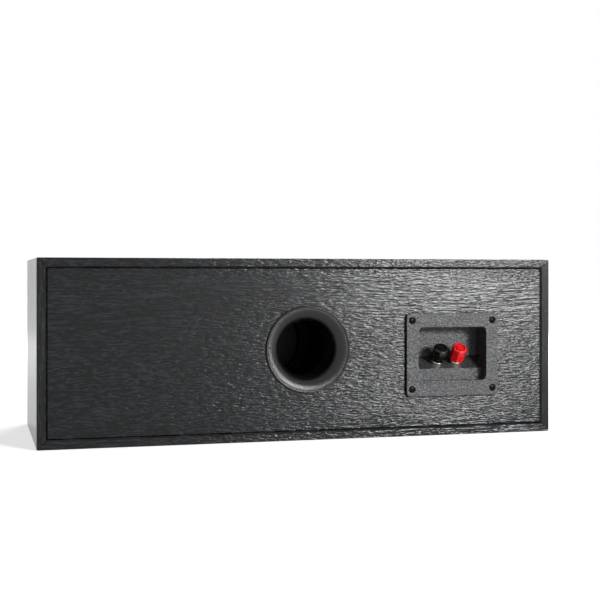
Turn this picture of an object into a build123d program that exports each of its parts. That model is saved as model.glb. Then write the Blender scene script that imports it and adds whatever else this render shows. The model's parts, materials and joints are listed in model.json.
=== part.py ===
"""Centre channel loudspeaker: a wide low cabinet with two woofers either side of a tweeter, a flared
port and a recessed terminal cup with two screw-down binding posts at the rear.

Millimetres. +Z is up, the grille faces -Y and the terminals face +Y. The origin is at the middle of the
overall box, on the surface that the cabinet stands on.
"""

import math
import os

from build123d import *

# Cabinet
CABINET_WIDTH = 482.6
CABINET_HEIGHT = 165.1
CABINET_DEPTH = 180.0
WALL = 12.0
RIM = 8.5
RIM_CHAMFER = 1.4
EDGE_RADIUS = 1.2
MITRE_GAP = 0.3
PANEL_RECESS = 1.0
PANEL_GAP = 0.3
PANEL_CHAMFER = 0.6
BACK_THICKNESS = 12.0
BAFFLE_THICKNESS = 15.0

# Port
PORT_THROAT_RADIUS = 25.4
PORT_FLARE_RADIUS = 12.2
PORT_LIP = 2.2
PORT_LIP_STEP = 0.8
PORT_LIP_WIDTH = 2.2
PORT_FLANGE_OVERLAP = 5.7
PORT_WALL = 2.8
PORT_SPIGOT = 20.0
PORT_TUBE_WALL = 2.0
PORT_TUBE_LENGTH = 74.0

# Terminal cup
CUP_INSET = 100.8
CUP_CENTRE_HEIGHT = 75.7
CUP_WIDTH = 92.0
CUP_HEIGHT = 78.0
CUP_CORNER = 4.5
CUP_FLANGE = 2.5
CUP_EDGE = 0.5
CUP_WALL = 2.5
CUP_GASKET = 1.0
GASKET_MARGIN = 2.0
CUP_CLEARANCE = 0.6
POCKET_WIDTH = 68.5
POCKET_HEIGHT = 50.3
POCKET_RISE = 0.65
POCKET_CORNER = 5.0
LEDGE_DEPTH = 10.5
LEDGE_HEIGHT = 10.6
SHELF_RUN = 13.0
POST_TILT = 50.0
CUP_SCREW_SPACING_X = 81.0
CUP_SCREW_SPACING_Z = 64.0
CUP_SCREW_HEAD_RADIUS = 3.1
CUP_SCREW_HEAD = 1.2
CUP_SCREW_RADIUS = 1.6
CUP_SCREW_LENGTH = 14.0
CUP_SCREW_RECESS = 1.3
SCREW_CLEARANCE = 0.3

# Binding posts
POST_SPACING = 19.05
POST_RADIUS = 2.5
POST_COLLAR_RADIUS = 5.8
POST_COLLAR = 3.4
POST_ABOVE_COLLAR = 11.5
POST_BEHIND_SHELF = 9.0
WIRE_HOLE_RADIUS = 1.4
THREAD_CLEARANCE = 0.06
CLAMP_WASHER_RADIUS = 5.4
CLAMP_WASHER = 1.6
CLAMP_WASHER_PLAY = 0.3
CAP_RADIUS = 7.1
CAP_SIDES = 8
CAP_LENGTH = 14.2
CAP_SKIRT = 3.2
CAP_WAIST = 0.5
CAP_CHAMFER = 1.3
CAP_MOUTH_RADIUS = 4.3
CAP_MOUTH = 2.2
CAP_GROOVE_RADIUS = 4.8
CAP_GROOVE_WIDTH = 1.2
CAP_GROOVE_DEPTH = 1.3
CAP_BORE_END = 0.4
LUG = 0.8
LUG_RADIUS = 4.6
LUG_TAIL = 9.0
NUT_WIDTH = 8.0
NUT = 3.2

# Woofers
WOOFER_INSET = 91.3
WOOFER_FRAME_RADIUS = 67.0
WOOFER_REBATE = 4.0
WOOFER_HOLE_GAP = 1.5
DRIVER_GAP = 0.3
BASKET_SHEET = 1.5
BASKET_MOUTH_RADIUS = 56.0
BASKET_LEDGE_RADIUS = 44.5
BASKET_LEDGE_WIDTH = 7.5
BASKET_LEDGE_DEPTH = 24.0
BASKET_FLOOR_RADIUS = 35.0
BASKET_FLOOR_DEPTH = 36.0
BASKET_WINDOWS = 4
BASKET_SPOKE = 14.0
COIL_RADIUS = 12.8
COIL_FORMER = 0.3
COIL_WINDING = 0.3
COIL_WINDING_LENGTH = 10.0
COIL_FRONT_DEPTH = 17.0
COIL_REAR_DEPTH = 46.0
MAGNET_GAP = 0.4
CONE_RADIUS = 47.0
CONE_LIP = 3.5
CONE_SHEET = 0.8
DUST_CAP_SEAT = 1.6
DUST_CAP_GLUE = 0.1
CONE_NECK_DEPTH = 19.0
CONE_NECK = 1.2
DUST_CAP_RADIUS = 17.5
DUST_CAP_RISE = 6.0
SURROUND_SHEET = 0.8
SURROUND_ROLL_RADIUS = 4.75
SURROUND_RIM = 3.5
SPIDER_SHEET = 0.8
SPIDER_RIDGE = 2.4
TOP_PLATE = 6.0
TOP_PLATE_RADIUS = 38.0
MAGNET = 15.0
MAGNET_RADIUS = 40.0
MAGNET_BORE_RADIUS = 17.0
YOKE_PLATE = 5.0
WOOFER_SCREW_CIRCLE = 63.5
DRIVER_SCREW_HEAD_RADIUS = 3.2
DRIVER_SCREW_HEAD = 2.0
DRIVER_SCREW_RADIUS = 1.75
DRIVER_SCREW_LENGTH = 14.0

# Tweeter
TWEETER_PLATE_RADIUS = 47.0
TWEETER_PLATE = 4.0
TWEETER_NECK_RADIUS = 36.5
TWEETER_NECK = 5.0
TWEETER_HOLE_GAP = 1.0
HORN_MOUTH_RADIUS = 32.0
HORN_THROAT_RADIUS = 14.0
HORN_DEPTH = 5.5
DOME_RIM_RADIUS = 17.5
DOME_RIM = 1.5
DOME_SHEET = 0.5
DOME_RISE = 5.7
TWEETER_COIL_RADIUS = 12.45
TWEETER_COIL_LENGTH = 5.0
TWEETER_MAGNET_GAP = 0.3
TWEETER_TOP_PLATE = 3.5
TWEETER_TOP_PLATE_RADIUS = 31.0
TWEETER_MAGNET = 10.0
TWEETER_MAGNET_RADIUS = 32.0
TWEETER_MAGNET_BORE_RADIUS = 16.0
TWEETER_YOKE_PLATE = 4.0
TWEETER_SCREW_CIRCLE = 42.0
DRIVER_SCREWS = 4
DRIVER_SCREW_ANGLE = 45.0

# Grille
GRILLE_INSET = 1.2
GRILLE_FRAME_DEPTH = 15.9
GRILLE_SEAT_GAP = 0.3
GRILLE_CORNER = 5.0
GRILLE_ROUND = 4.0
GRILLE_RAIL = 16.0
GRILLE_MULLION = 14.0
GRILLE_WINDOW_CORNER = 8.0
CLOTH = 0.8
PEG_INSET = 16.3
PEG_COLUMNS = 4
PEG_RADIUS = 3.0
PEG_BULB_RADIUS = 3.6
PEG_IN_FRAME = 6.0
PEG_IN_BAFFLE = 8.0
PEG_SHANK = 4.0
PEG_BULB_START = 5.0
PEG_BULB_END = 6.0
SOCKET_RADIUS = 5.0
SOCKET_FLANGE_RADIUS = 6.5
SOCKET_FLANGE = 0.8
SOCKET_DEPTH = 10.0
SOCKET_CLEARANCE = 0.3

# Crossover, wiring and damping
BOARD_WIDTH = 96.0
BOARD_HEIGHT = 84.0
BOARD = 1.6
BOARD_INSET = 112.0
BOARD_DROP = 19.5
STANDOFF_RADIUS = 3.5
STANDOFF = 8.0
STANDOFF_INSET = 6.0
WOOFER_COIL_RADIUS = 19.0
WOOFER_COIL_HEIGHT = 22.0
WOOFER_COIL_CORE_RADIUS = 8.0
TWEETER_COIL_OUTER_RADIUS = 13.0
TWEETER_COIL_HEIGHT = 16.0
TWEETER_COIL_CORE_RADIUS = 6.0
CAPACITOR_RADIUS = 9.0
CAPACITOR_HEIGHT = 30.0
CAPACITOR_EDGE = 1.0
RESISTOR_LENGTH = 48.0
RESISTOR_SIDE = 9.0
PART_SPACING = 3.0
WIRE_RADIUS = 1.1
WIRE_PITCH = 5.0
WIRE_BEND = 8.0
WOOFER_WIRE_REACH = 90.0
TWEETER_WIRE_REACH = 54.0
PAD_THICKNESS = 20.0
PAD_WIDTH = 110.0
PAD_MARGIN = 10.0
PAD_ROUND = 5.0

# Places worked out from the sizes above
grille_stack = GRILLE_SEAT_GAP + GRILLE_FRAME_DEPTH + CLOTH
cup_standing_proud = CUP_GASKET + CUP_FLANGE - PANEL_RECESS
overall_depth = grille_stack + CABINET_DEPTH + cup_standing_proud
y_front_edge = grille_stack - overall_depth / 2
y_rear_edge = y_front_edge + CABINET_DEPTH
y_baffle = y_front_edge + PANEL_RECESS
y_back = y_rear_edge - PANEL_RECESS
y_back_inside = y_back - BACK_THICKNESS
y_cup_face = y_rear_edge + cup_standing_proud
middle_z = CABINET_HEIGHT / 2
inside_width = CABINET_WIDTH - 2 * WALL
inside_height = CABINET_HEIGHT - 2 * WALL
panel_width = CABINET_WIDTH - 2 * (RIM + PANEL_GAP)
panel_height = CABINET_HEIGHT - 2 * (RIM + PANEL_GAP)
woofer_x = CABINET_WIDTH / 2 - WOOFER_INSET
cup_x = CUP_INSET - CABINET_WIDTH / 2


def front_plane(y):
    """A plane across the cabinet at y, facing forwards, with its X along +X and its Y upwards."""
    return Plane(origin=(0, y, 0), x_dir=(1, 0, 0), z_dir=(0, -1, 0))


def rear_plane(y):
    """A plane across the cabinet at y, facing the rear, with its X along -X and its Y upwards."""
    return Plane(origin=(0, y, 0), x_dir=(-1, 0, 0), z_dir=(0, 1, 0))


def side_plane(x):
    """A plane along the cabinet at x, with its X towards the rear and its Y upwards."""
    return Plane(origin=(x, 0, 0), x_dir=(0, 1, 0), z_dir=(1, 0, 0))


def turning_plane(x, y, z):
    """A level plane for a profile that is turned about +Y: its X is the radius and its Y runs rearwards."""
    return Plane(origin=(x, y, z), x_dir=(1, 0, 0), z_dir=(0, 0, 1))


def turning_axis(plane):
    return Axis(plane.origin, plane.y_dir)


def ring_section(inner_radius, outer_radius, start, end):
    """The section of a plain ring or disc, in a turning plane."""
    with Locations(((inner_radius + outer_radius) / 2, (start + end) / 2)):
        Rectangle(outer_radius - inner_radius, end - start)


def outline(*points):
    """A face bounded by straight lines."""
    with BuildLine() as border:
        Polyline(*points, close=True)
    make_face(border.edges())


def dome_depth(radius, crest, rise, base_radius):
    """How far down a spherical dome has come at a radius from its middle."""
    sphere = (base_radius**2 + rise**2) / (2 * rise)
    return crest + sphere - math.sqrt(sphere**2 - radius**2)


def save(builder, name):
    builder.part.label = name
    export_step(builder.part, f"parts/{name}.step")


os.makedirs("parts", exist_ok=True)

# Cabinet wrap: a square tube of board with a rebate at each end, cut along its mitres into four panels
with BuildPart() as wrap:
    with BuildSketch(rear_plane(y_front_edge)):
        with Locations((0, middle_z)):
            RectangleRounded(CABINET_WIDTH, CABINET_HEIGHT, EDGE_RADIUS)
            Rectangle(inside_width, inside_height, mode=Mode.SUBTRACT)
    extrude(amount=CABINET_DEPTH)
    for plane, thickness in (
        (rear_plane(y_rear_edge), BACK_THICKNESS),
        (front_plane(y_front_edge), BAFFLE_THICKNESS),
    ):
        with BuildSketch(plane):
            with Locations((0, middle_z)):
                Rectangle(CABINET_WIDTH - 2 * RIM, CABINET_HEIGHT - 2 * RIM)
        extrude(amount=-(PANEL_RECESS + thickness), mode=Mode.SUBTRACT)
    rims = faces().filter_by(Axis.Y).sort_by(Axis.Y)
    chamfer([edge for rim in (rims[0], rims[-1]) for edge in rim.inner_wires()[0].edges()], RIM_CHAMFER)
    rims = faces().filter_by(Axis.Y).sort_by(Axis.Y)
    fillet([edge for rim in (rims[0], rims[-1]) for edge in rim.outer_wire().edges()], EDGE_RADIUS / 2)

mitre_shift = MITRE_GAP / math.sqrt(2)
half_width = CABINET_WIDTH / 2
for name, corners in (
    ("top_panel", ((-half_width, CABINET_HEIGHT), (half_width, CABINET_HEIGHT))),
    ("bottom_panel", ((half_width, 0), (-half_width, 0))),
    ("left_side_panel", ((half_width, CABINET_HEIGHT), (half_width, 0))),
    ("right_side_panel", ((-half_width, 0), (-half_width, CABINET_HEIGHT))),
):
    start, end = (Vector(*corner) for corner in corners)
    along = (end - start).normalized()
    inwards = Vector(along.Y, -along.X)
    with BuildPart() as panel:
        with BuildSketch(rear_plane(y_front_edge)):
            outline(
                start + along * mitre_shift,
                end - along * mitre_shift,
                end - along * (mitre_shift + WALL) + inwards * WALL,
                start + along * (mitre_shift + WALL) + inwards * WALL,
            )
        extrude(amount=CABINET_DEPTH)
        add(wrap.part, mode=Mode.INTERSECT)
    save(panel, name)

# Port: a moulded flange and flare with a spigot, and a tube glued over the spigot
port_lip_radius = PORT_THROAT_RADIUS + PORT_FLARE_RADIUS
port_flange_radius = port_lip_radius + PORT_LIP_WIDTH
port_neck_radius = port_flange_radius - PORT_FLANGE_OVERLAP
port_spigot_radius = PORT_THROAT_RADIUS + PORT_WALL
port_plane = turning_plane(0, y_back, middle_z)
flare_start = PORT_LIP - PORT_LIP_STEP
flare_end = flare_start - PORT_FLARE_RADIUS
flare_swing = PORT_FLARE_RADIUS * math.sqrt(0.5)

with BuildPart() as port_flare:
    with BuildSketch(port_plane):
        with BuildLine():
            flare = ThreePointArc(
                (port_lip_radius, flare_start),
                (port_lip_radius - flare_swing, flare_end + flare_swing),
                (PORT_THROAT_RADIUS, flare_end),
            )
            Polyline(
                flare @ 1,
                (PORT_THROAT_RADIUS, flare_end - PORT_SPIGOT),
                (port_spigot_radius, flare_end - PORT_SPIGOT),
                (port_spigot_radius, flare_end),
                (port_neck_radius, -PORT_LIP),
                (port_neck_radius, 0),
                (port_flange_radius, 0),
            )
            lip_crest = port_flange_radius - PORT_LIP_WIDTH / 2
            EllipticalCenterArc(
                (lip_crest, 0), PORT_LIP_WIDTH / 2, PORT_LIP, start_angle=0, arc_size=90
            )
            EllipticalCenterArc(
                (lip_crest, flare_start), PORT_LIP_WIDTH / 2, PORT_LIP_STEP, start_angle=90, arc_size=90
            )
        make_face()
    revolve(axis=turning_axis(port_plane))
save(port_flare, "port_flare")

port_tube_start = flare_end - PORT_WALL
with BuildPart() as port_tube:
    with BuildSketch(port_plane):
        ring_section(
            port_spigot_radius,
            port_spigot_radius + PORT_TUBE_WALL,
            port_tube_start - PORT_TUBE_LENGTH,
            port_tube_start,
        )
    revolve(axis=turning_axis(port_plane))
save(port_tube, "port_tube")

# Terminal cup: a flange with a pocket behind it, whose floor steps back to a sloping shelf for the posts
tilt = math.radians(POST_TILT)
post_direction = Vector(0, math.cos(tilt), math.sin(tilt))
shelf_rise = SHELF_RUN / math.tan(tilt)
pocket_depth = LEDGE_DEPTH + SHELF_RUN
pocket_middle = CUP_CENTRE_HEIGHT + POCKET_RISE
pocket_floor = pocket_middle - POCKET_HEIGHT / 2
pocket_ceiling = pocket_middle + POCKET_HEIGHT / 2
ledge_top = pocket_floor + LEDGE_HEIGHT
shelf_top = ledge_top + shelf_rise
cup_place = (-cup_x, CUP_CENTRE_HEIGHT)
pocket_place = (-cup_x, pocket_middle)


def pocket(grow, mouth):
    """The pocket's space, grown outwards by a wall, from a mouth plane at y inwards."""
    shelf_shift = grow * math.tan(tilt / 2)
    with BuildPart() as space:
        with BuildSketch(rear_plane(mouth)):
            with Locations(pocket_place):
                RectangleRounded(POCKET_WIDTH + 2 * grow, POCKET_HEIGHT + 2 * grow, POCKET_CORNER + grow)
        extrude(amount=-(pocket_depth + grow))
        with BuildSketch(side_plane(cup_x)):
            outline(
                (mouth, pocket_floor - grow),
                (y_cup_face - LEDGE_DEPTH - grow, pocket_floor - grow),
                (y_cup_face - LEDGE_DEPTH - grow, ledge_top - shelf_shift),
                (y_cup_face - pocket_depth - grow, shelf_top - shelf_shift),
                (y_cup_face - pocket_depth - grow, pocket_ceiling + grow),
                (mouth, pocket_ceiling + grow),
            )
        extrude(amount=POCKET_WIDTH / 2 + grow, both=True, mode=Mode.INTERSECT)
    return space.part


shelf_middle = Vector(
    cup_x, y_cup_face - LEDGE_DEPTH - SHELF_RUN / 2, ledge_top + shelf_rise / 2
)


def post_plane(side):
    """A turning plane on the shelf at one post: its X is the radius and its Y runs out along the post."""
    return Plane(
        origin=shelf_middle + Vector(side * POST_SPACING / 2, 0, 0),
        x_dir=(1, 0, 0),
        z_dir=(0, -math.sin(tilt), math.cos(tilt)),
    )


POSTS = (("black", 1), ("red", -1))
post_planes = [post_plane(side) for name, side in POSTS]
cup_back = pocket(CUP_WALL, y_cup_face - CUP_FLANGE)
cup_space = pocket(0, y_cup_face)

with BuildPart() as terminal_cup:
    with BuildSketch(rear_plane(y_cup_face - CUP_FLANGE)):
        with Locations(cup_place):
            RectangleRounded(CUP_WIDTH, CUP_HEIGHT, CUP_CORNER)
    extrude(amount=CUP_FLANGE)
    fillet(faces().sort_by(Axis.Y)[-1].edges(), CUP_EDGE)
    add(cup_back)
    add(cup_space, mode=Mode.SUBTRACT)
    with BuildSketch(*[Plane(origin=p.origin, z_dir=post_direction) for p in post_planes]):
        Circle(POST_RADIUS + THREAD_CLEARANCE)
    extrude(amount=2 * CUP_WALL, both=True, mode=Mode.SUBTRACT)
    with Locations(rear_plane(y_cup_face)):
        with Locations(cup_place):
            with GridLocations(CUP_SCREW_SPACING_X, CUP_SCREW_SPACING_Z, 2, 2):
                CounterBoreHole(
                    CUP_SCREW_RADIUS + SCREW_CLEARANCE,
                    CUP_SCREW_HEAD_RADIUS + SCREW_CLEARANCE,
                    CUP_SCREW_RECESS,
                    CUP_FLANGE,
                )
save(terminal_cup, "terminal_cup")

cup_cut_width = POCKET_WIDTH + 2 * (CUP_WALL + CUP_CLEARANCE)
cup_cut_height = POCKET_HEIGHT + 2 * (CUP_WALL + CUP_CLEARANCE)
cup_cut_corner = POCKET_CORNER + CUP_WALL
with BuildPart() as terminal_gasket:
    with BuildSketch(rear_plane(y_back)):
        with Locations(cup_place):
            RectangleRounded(CUP_WIDTH - GASKET_MARGIN, CUP_HEIGHT - GASKET_MARGIN, CUP_CORNER)
        with Locations(pocket_place):
            RectangleRounded(cup_cut_width, cup_cut_height, cup_cut_corner, mode=Mode.SUBTRACT)
        with Locations(cup_place):
            with GridLocations(CUP_SCREW_SPACING_X, CUP_SCREW_SPACING_Z, 2, 2):
                Circle(CUP_SCREW_RADIUS + SCREW_CLEARANCE, mode=Mode.SUBTRACT)
    extrude(amount=CUP_GASKET)
save(terminal_gasket, "terminal_gasket")

y_cup_screw_seat = y_cup_face - CUP_SCREW_RECESS
with BuildPart() as terminal_screws:
    with BuildSketch(rear_plane(y_cup_screw_seat)):
        with Locations(cup_place):
            with GridLocations(CUP_SCREW_SPACING_X, CUP_SCREW_SPACING_Z, 2, 2):
                Circle(CUP_SCREW_HEAD_RADIUS)
    extrude(amount=CUP_SCREW_HEAD)
    with BuildSketch(rear_plane(y_cup_screw_seat)):
        with Locations(cup_place):
            with GridLocations(CUP_SCREW_SPACING_X, CUP_SCREW_SPACING_Z, 2, 2):
                Circle(CUP_SCREW_RADIUS)
    extrude(amount=-CUP_SCREW_LENGTH)
save(terminal_screws, "terminal_screws")

# Back panel: drops into the rear rebate and carries the port and the cup
with BuildPart() as back_panel:
    with BuildSketch(rear_plane(y_back_inside)):
        with Locations((0, middle_z)):
            Rectangle(panel_width, panel_height)
            Circle(port_neck_radius + PANEL_GAP, mode=Mode.SUBTRACT)
        with Locations(pocket_place):
            RectangleRounded(cup_cut_width, cup_cut_height, cup_cut_corner, mode=Mode.SUBTRACT)
        with Locations(cup_place):
            with GridLocations(CUP_SCREW_SPACING_X, CUP_SCREW_SPACING_Z, 2, 2):
                Circle(CUP_SCREW_RADIUS, mode=Mode.SUBTRACT)
    extrude(amount=BACK_THICKNESS)
    chamfer(faces().sort_by(Axis.Y)[-1].outer_wire().edges(), PANEL_CHAMFER)
save(back_panel, "back_panel")

# Binding posts: a turned stud with a collar and a wire hole, a clamp washer, a fluted cap, a lug and a nut
washer_start = POST_COLLAR
cap_start = washer_start + CLAMP_WASHER
stud_end = POST_COLLAR + POST_ABOVE_COLLAR
wire_hole_along = POST_COLLAR + WIRE_HOLE_RADIUS

with BuildPart() as binding_post_studs:
    for plane in post_planes:
        with BuildSketch(plane):
            outline(
                (0, -POST_BEHIND_SHELF),
                (POST_RADIUS, -POST_BEHIND_SHELF),
                (POST_RADIUS, 0),
                (POST_COLLAR_RADIUS, 0),
                (POST_COLLAR_RADIUS, POST_COLLAR),
                (POST_RADIUS, POST_COLLAR),
                (POST_RADIUS, stud_end),
                (0, stud_end),
            )
        revolve(axis=turning_axis(plane))
        with BuildSketch(plane):
            with Locations((0, wire_hole_along)):
                Circle(WIRE_HOLE_RADIUS)
        extrude(amount=2 * POST_RADIUS, both=True, mode=Mode.SUBTRACT)
save(binding_post_studs, "binding_post_studs")

for (colour, side), plane in zip(POSTS, post_planes):
    with BuildPart() as clamp_washer:
        with BuildSketch(plane):
            ring_section(POST_RADIUS + CLAMP_WASHER_PLAY, CLAMP_WASHER_RADIUS, washer_start, cap_start)
        revolve(axis=turning_axis(plane))
    save(clamp_washer, f"{colour}_clamp_washer")

    cap_end = cap_start + CAP_LENGTH
    skirt_end = cap_start + CAP_SKIRT
    groove_inner_radius = CAP_GROOVE_RADIUS - CAP_GROOVE_WIDTH
    with BuildPart() as post_cap:
        with BuildSketch(plane):
            outline(
                (CAP_MOUTH_RADIUS, cap_start),
                (CAP_RADIUS, cap_start),
                (CAP_RADIUS, skirt_end - CAP_WAIST),
                (CAP_RADIUS - CAP_WAIST, skirt_end),
                (CAP_RADIUS, skirt_end + CAP_WAIST),
                (CAP_RADIUS, cap_end - CAP_CHAMFER),
                (CAP_RADIUS - CAP_CHAMFER, cap_end),
                (CAP_GROOVE_RADIUS, cap_end),
                (CAP_GROOVE_RADIUS, cap_end - CAP_GROOVE_DEPTH),
                (groove_inner_radius, cap_end - CAP_GROOVE_DEPTH),
                (groove_inner_radius, cap_end),
                (0, cap_end),
                (0, stud_end + CAP_BORE_END),
                (POST_RADIUS + THREAD_CLEARANCE, stud_end + CAP_BORE_END),
                (POST_RADIUS + THREAD_CLEARANCE, cap_start + CAP_MOUTH),
                (CAP_MOUTH_RADIUS, cap_start + CAP_MOUTH),
            )
        revolve(axis=turning_axis(plane))
        with BuildSketch(Plane(origin=plane.origin, x_dir=(1, 0, 0), z_dir=post_direction)):
            RegularPolygon(CAP_RADIUS, CAP_SIDES, rotation=180 / CAP_SIDES)
        extrude(amount=cap_end, mode=Mode.INTERSECT)
    save(post_cap, f"{colour}_post_cap")

lug_start = -CUP_WALL
nut_start = lug_start - LUG
with BuildPart() as solder_lugs:
    for plane in post_planes:
        lug_plane = Plane(
            origin=plane.origin + post_direction * nut_start, x_dir=(1, 0, 0), z_dir=post_direction
        )
        with BuildSketch(lug_plane):
            Circle(LUG_RADIUS)
            with Locations((0, -LUG_TAIL / 2)):
                Rectangle(LUG_RADIUS, LUG_TAIL)
            Circle(POST_RADIUS + THREAD_CLEARANCE, mode=Mode.SUBTRACT)
        extrude(amount=LUG)
save(solder_lugs, "solder_lugs")

with BuildPart() as post_nuts:
    for plane in post_planes:
        nut_plane = Plane(
            origin=plane.origin + post_direction * nut_start, x_dir=(1, 0, 0), z_dir=post_direction
        )
        with BuildSketch(nut_plane):
            RegularPolygon(NUT_WIDTH / 2, 6, major_radius=False)
            Circle(POST_RADIUS + THREAD_CLEARANCE, mode=Mode.SUBTRACT)
        extrude(amount=-NUT)
save(post_nuts, "post_nuts")

# Woofers: each a pressed basket with its suspension, cone and motor, let into the front of the baffle
flange_front = WOOFER_REBATE - BASKET_SHEET
roll_middle = CONE_RADIUS + SURROUND_ROLL_RADIUS
roll_inside = SURROUND_ROLL_RADIUS - SURROUND_SHEET
roll_reach = math.sqrt(SURROUND_ROLL_RADIUS**2 - SURROUND_SHEET**2)
cone_inner_lip = CONE_RADIUS - CONE_LIP
cone_slope = (CONE_NECK_DEPTH - flange_front) / (cone_inner_lip - COIL_RADIUS)
plate_front = BASKET_FLOOR_DEPTH + BASKET_SHEET
magnet_front = plate_front + TOP_PLATE
magnet_rear = magnet_front + MAGNET
ledge_inner_radius = BASKET_LEDGE_RADIUS - BASKET_LEDGE_WIDTH
dust_cap_base = CONE_NECK_DEPTH - cone_slope * (DUST_CAP_RADIUS - COIL_RADIUS) - DUST_CAP_GLUE
dust_cap_crest = dust_cap_base - DUST_CAP_RISE
woofer_planes = {
    "left": turning_plane(-woofer_x, y_baffle, middle_z),
    "right": turning_plane(woofer_x, y_baffle, middle_z),
}

for side, plane in woofer_planes.items():
    axis = turning_axis(plane)
    centre = (plane.origin.X, plane.origin.Z)

    with BuildPart() as basket:
        with BuildSketch(plane):
            outline(
                (WOOFER_FRAME_RADIUS, flange_front),
                (BASKET_MOUTH_RADIUS, flange_front),
                (BASKET_LEDGE_RADIUS, BASKET_LEDGE_DEPTH),
                (ledge_inner_radius, BASKET_LEDGE_DEPTH),
                (BASKET_FLOOR_RADIUS, BASKET_FLOOR_DEPTH),
                (MAGNET_BORE_RADIUS, BASKET_FLOOR_DEPTH),
                (MAGNET_BORE_RADIUS, plate_front),
                (BASKET_FLOOR_RADIUS + BASKET_SHEET, plate_front),
                (ledge_inner_radius + BASKET_SHEET, BASKET_LEDGE_DEPTH + BASKET_SHEET),
                (BASKET_LEDGE_RADIUS + BASKET_SHEET, BASKET_LEDGE_DEPTH + BASKET_SHEET),
                (BASKET_MOUTH_RADIUS + BASKET_SHEET, WOOFER_REBATE),
                (WOOFER_FRAME_RADIUS, WOOFER_REBATE),
            )
        revolve(axis=axis)
        window_inner = BASKET_LEDGE_RADIUS + 2 * BASKET_SHEET
        window_outer = BASKET_MOUTH_RADIUS - 2 * BASKET_SHEET
        with BuildSketch(rear_plane(y_baffle)):
            with Locations((-centre[0], centre[1])):
                Circle(window_outer)
                Circle(window_inner, mode=Mode.SUBTRACT)
                with PolarLocations(0, BASKET_WINDOWS, start_angle=DRIVER_SCREW_ANGLE):
                    Rectangle(2 * WOOFER_FRAME_RADIUS, BASKET_SPOKE, mode=Mode.SUBTRACT)
        extrude(amount=BASKET_FLOOR_DEPTH, mode=Mode.SUBTRACT)
        with BuildSketch(rear_plane(y_baffle)):
            with Locations((-centre[0], centre[1])):
                with PolarLocations(WOOFER_SCREW_CIRCLE, DRIVER_SCREWS, start_angle=DRIVER_SCREW_ANGLE):
                    Circle(DRIVER_SCREW_RADIUS + SCREW_CLEARANCE / 2)
        extrude(amount=WOOFER_REBATE, mode=Mode.SUBTRACT)
    save(basket, f"{side}_woofer_basket")

    with BuildPart() as surround:
        with BuildSketch(plane):
            with BuildLine():
                Polyline(
                    (roll_middle - roll_reach, flange_front - SURROUND_SHEET),
                    (cone_inner_lip, flange_front - SURROUND_SHEET),
                    (cone_inner_lip, flange_front),
                    (roll_middle - roll_inside, flange_front),
                )
                ThreePointArc(
                    (roll_middle - roll_inside, flange_front),
                    (roll_middle, flange_front - roll_inside),
                    (roll_middle + roll_inside, flange_front),
                )
                Polyline(
                    (roll_middle + roll_inside, flange_front),
                    (roll_middle + SURROUND_ROLL_RADIUS + SURROUND_RIM, flange_front),
                    (roll_middle + SURROUND_ROLL_RADIUS + SURROUND_RIM, flange_front - SURROUND_SHEET),
                    (roll_middle + roll_reach, flange_front - SURROUND_SHEET),
                )
                ThreePointArc(
                    (roll_middle + roll_reach, flange_front - SURROUND_SHEET),
                    (roll_middle, flange_front - SURROUND_ROLL_RADIUS),
                    (roll_middle - roll_reach, flange_front - SURROUND_SHEET),
                )
            make_face()
        revolve(axis=axis)
    save(surround, f"{side}_woofer_surround")

    with BuildPart() as cone:
        with BuildSketch(plane):
            outline(
                (CONE_RADIUS, flange_front),
                (cone_inner_lip, flange_front),
                (COIL_RADIUS, CONE_NECK_DEPTH),
                (COIL_RADIUS, CONE_NECK_DEPTH + CONE_NECK),
                (cone_inner_lip, flange_front + CONE_SHEET),
                (CONE_RADIUS, flange_front + CONE_SHEET),
            )
        revolve(axis=axis)
    save(cone, f"{side}_woofer_cone")

    with BuildPart() as dust_cap:
        cap_inner_radius = DUST_CAP_RADIUS - DUST_CAP_SEAT
        cap_inner_base = dust_cap_base + cone_slope * DUST_CAP_SEAT
        inner_crest = dust_cap_crest + CONE_SHEET
        inner_rise = cap_inner_base - inner_crest
        outer_middle = dome_depth(DUST_CAP_RADIUS / 2, dust_cap_crest, DUST_CAP_RISE, DUST_CAP_RADIUS)
        inner_middle = dome_depth(cap_inner_radius / 2, inner_crest, inner_rise, cap_inner_radius)
        with BuildSketch(plane):
            with BuildLine():
                outer_arc = ThreePointArc(
                    (0, dust_cap_crest),
                    (DUST_CAP_RADIUS / 2, outer_middle),
                    (DUST_CAP_RADIUS, dust_cap_base),
                )
                inner_arc = ThreePointArc(
                    (cap_inner_radius, cap_inner_base),
                    (cap_inner_radius / 2, inner_middle),
                    (0, inner_crest),
                )
                Line(outer_arc @ 1, inner_arc @ 0)
                Line(inner_arc @ 1, outer_arc @ 0)
            make_face()
        revolve(axis=axis)
    save(dust_cap, f"{side}_woofer_dust_cap")

    with BuildPart() as spider:
        spider_front = BASKET_LEDGE_DEPTH - SPIDER_SHEET
        spider_outer = BASKET_LEDGE_RADIUS - BASKET_SHEET
        ridge_middle = (COIL_RADIUS + ledge_inner_radius) / 2
        ridge_half = (ledge_inner_radius - COIL_RADIUS) / 4
        with BuildSketch(plane):
            outline(
                (COIL_RADIUS, BASKET_LEDGE_DEPTH),
                (ridge_middle - ridge_half, BASKET_LEDGE_DEPTH),
                (ridge_middle, BASKET_LEDGE_DEPTH - SPIDER_RIDGE),
                (ridge_middle + ridge_half, BASKET_LEDGE_DEPTH),
                (spider_outer, BASKET_LEDGE_DEPTH),
                (spider_outer, spider_front),
                (ridge_middle + ridge_half, spider_front),
                (ridge_middle, spider_front - SPIDER_RIDGE),
                (ridge_middle - ridge_half, spider_front),
                (COIL_RADIUS, spider_front),
            )
        revolve(axis=axis)
    save(spider, f"{side}_woofer_spider")

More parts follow.
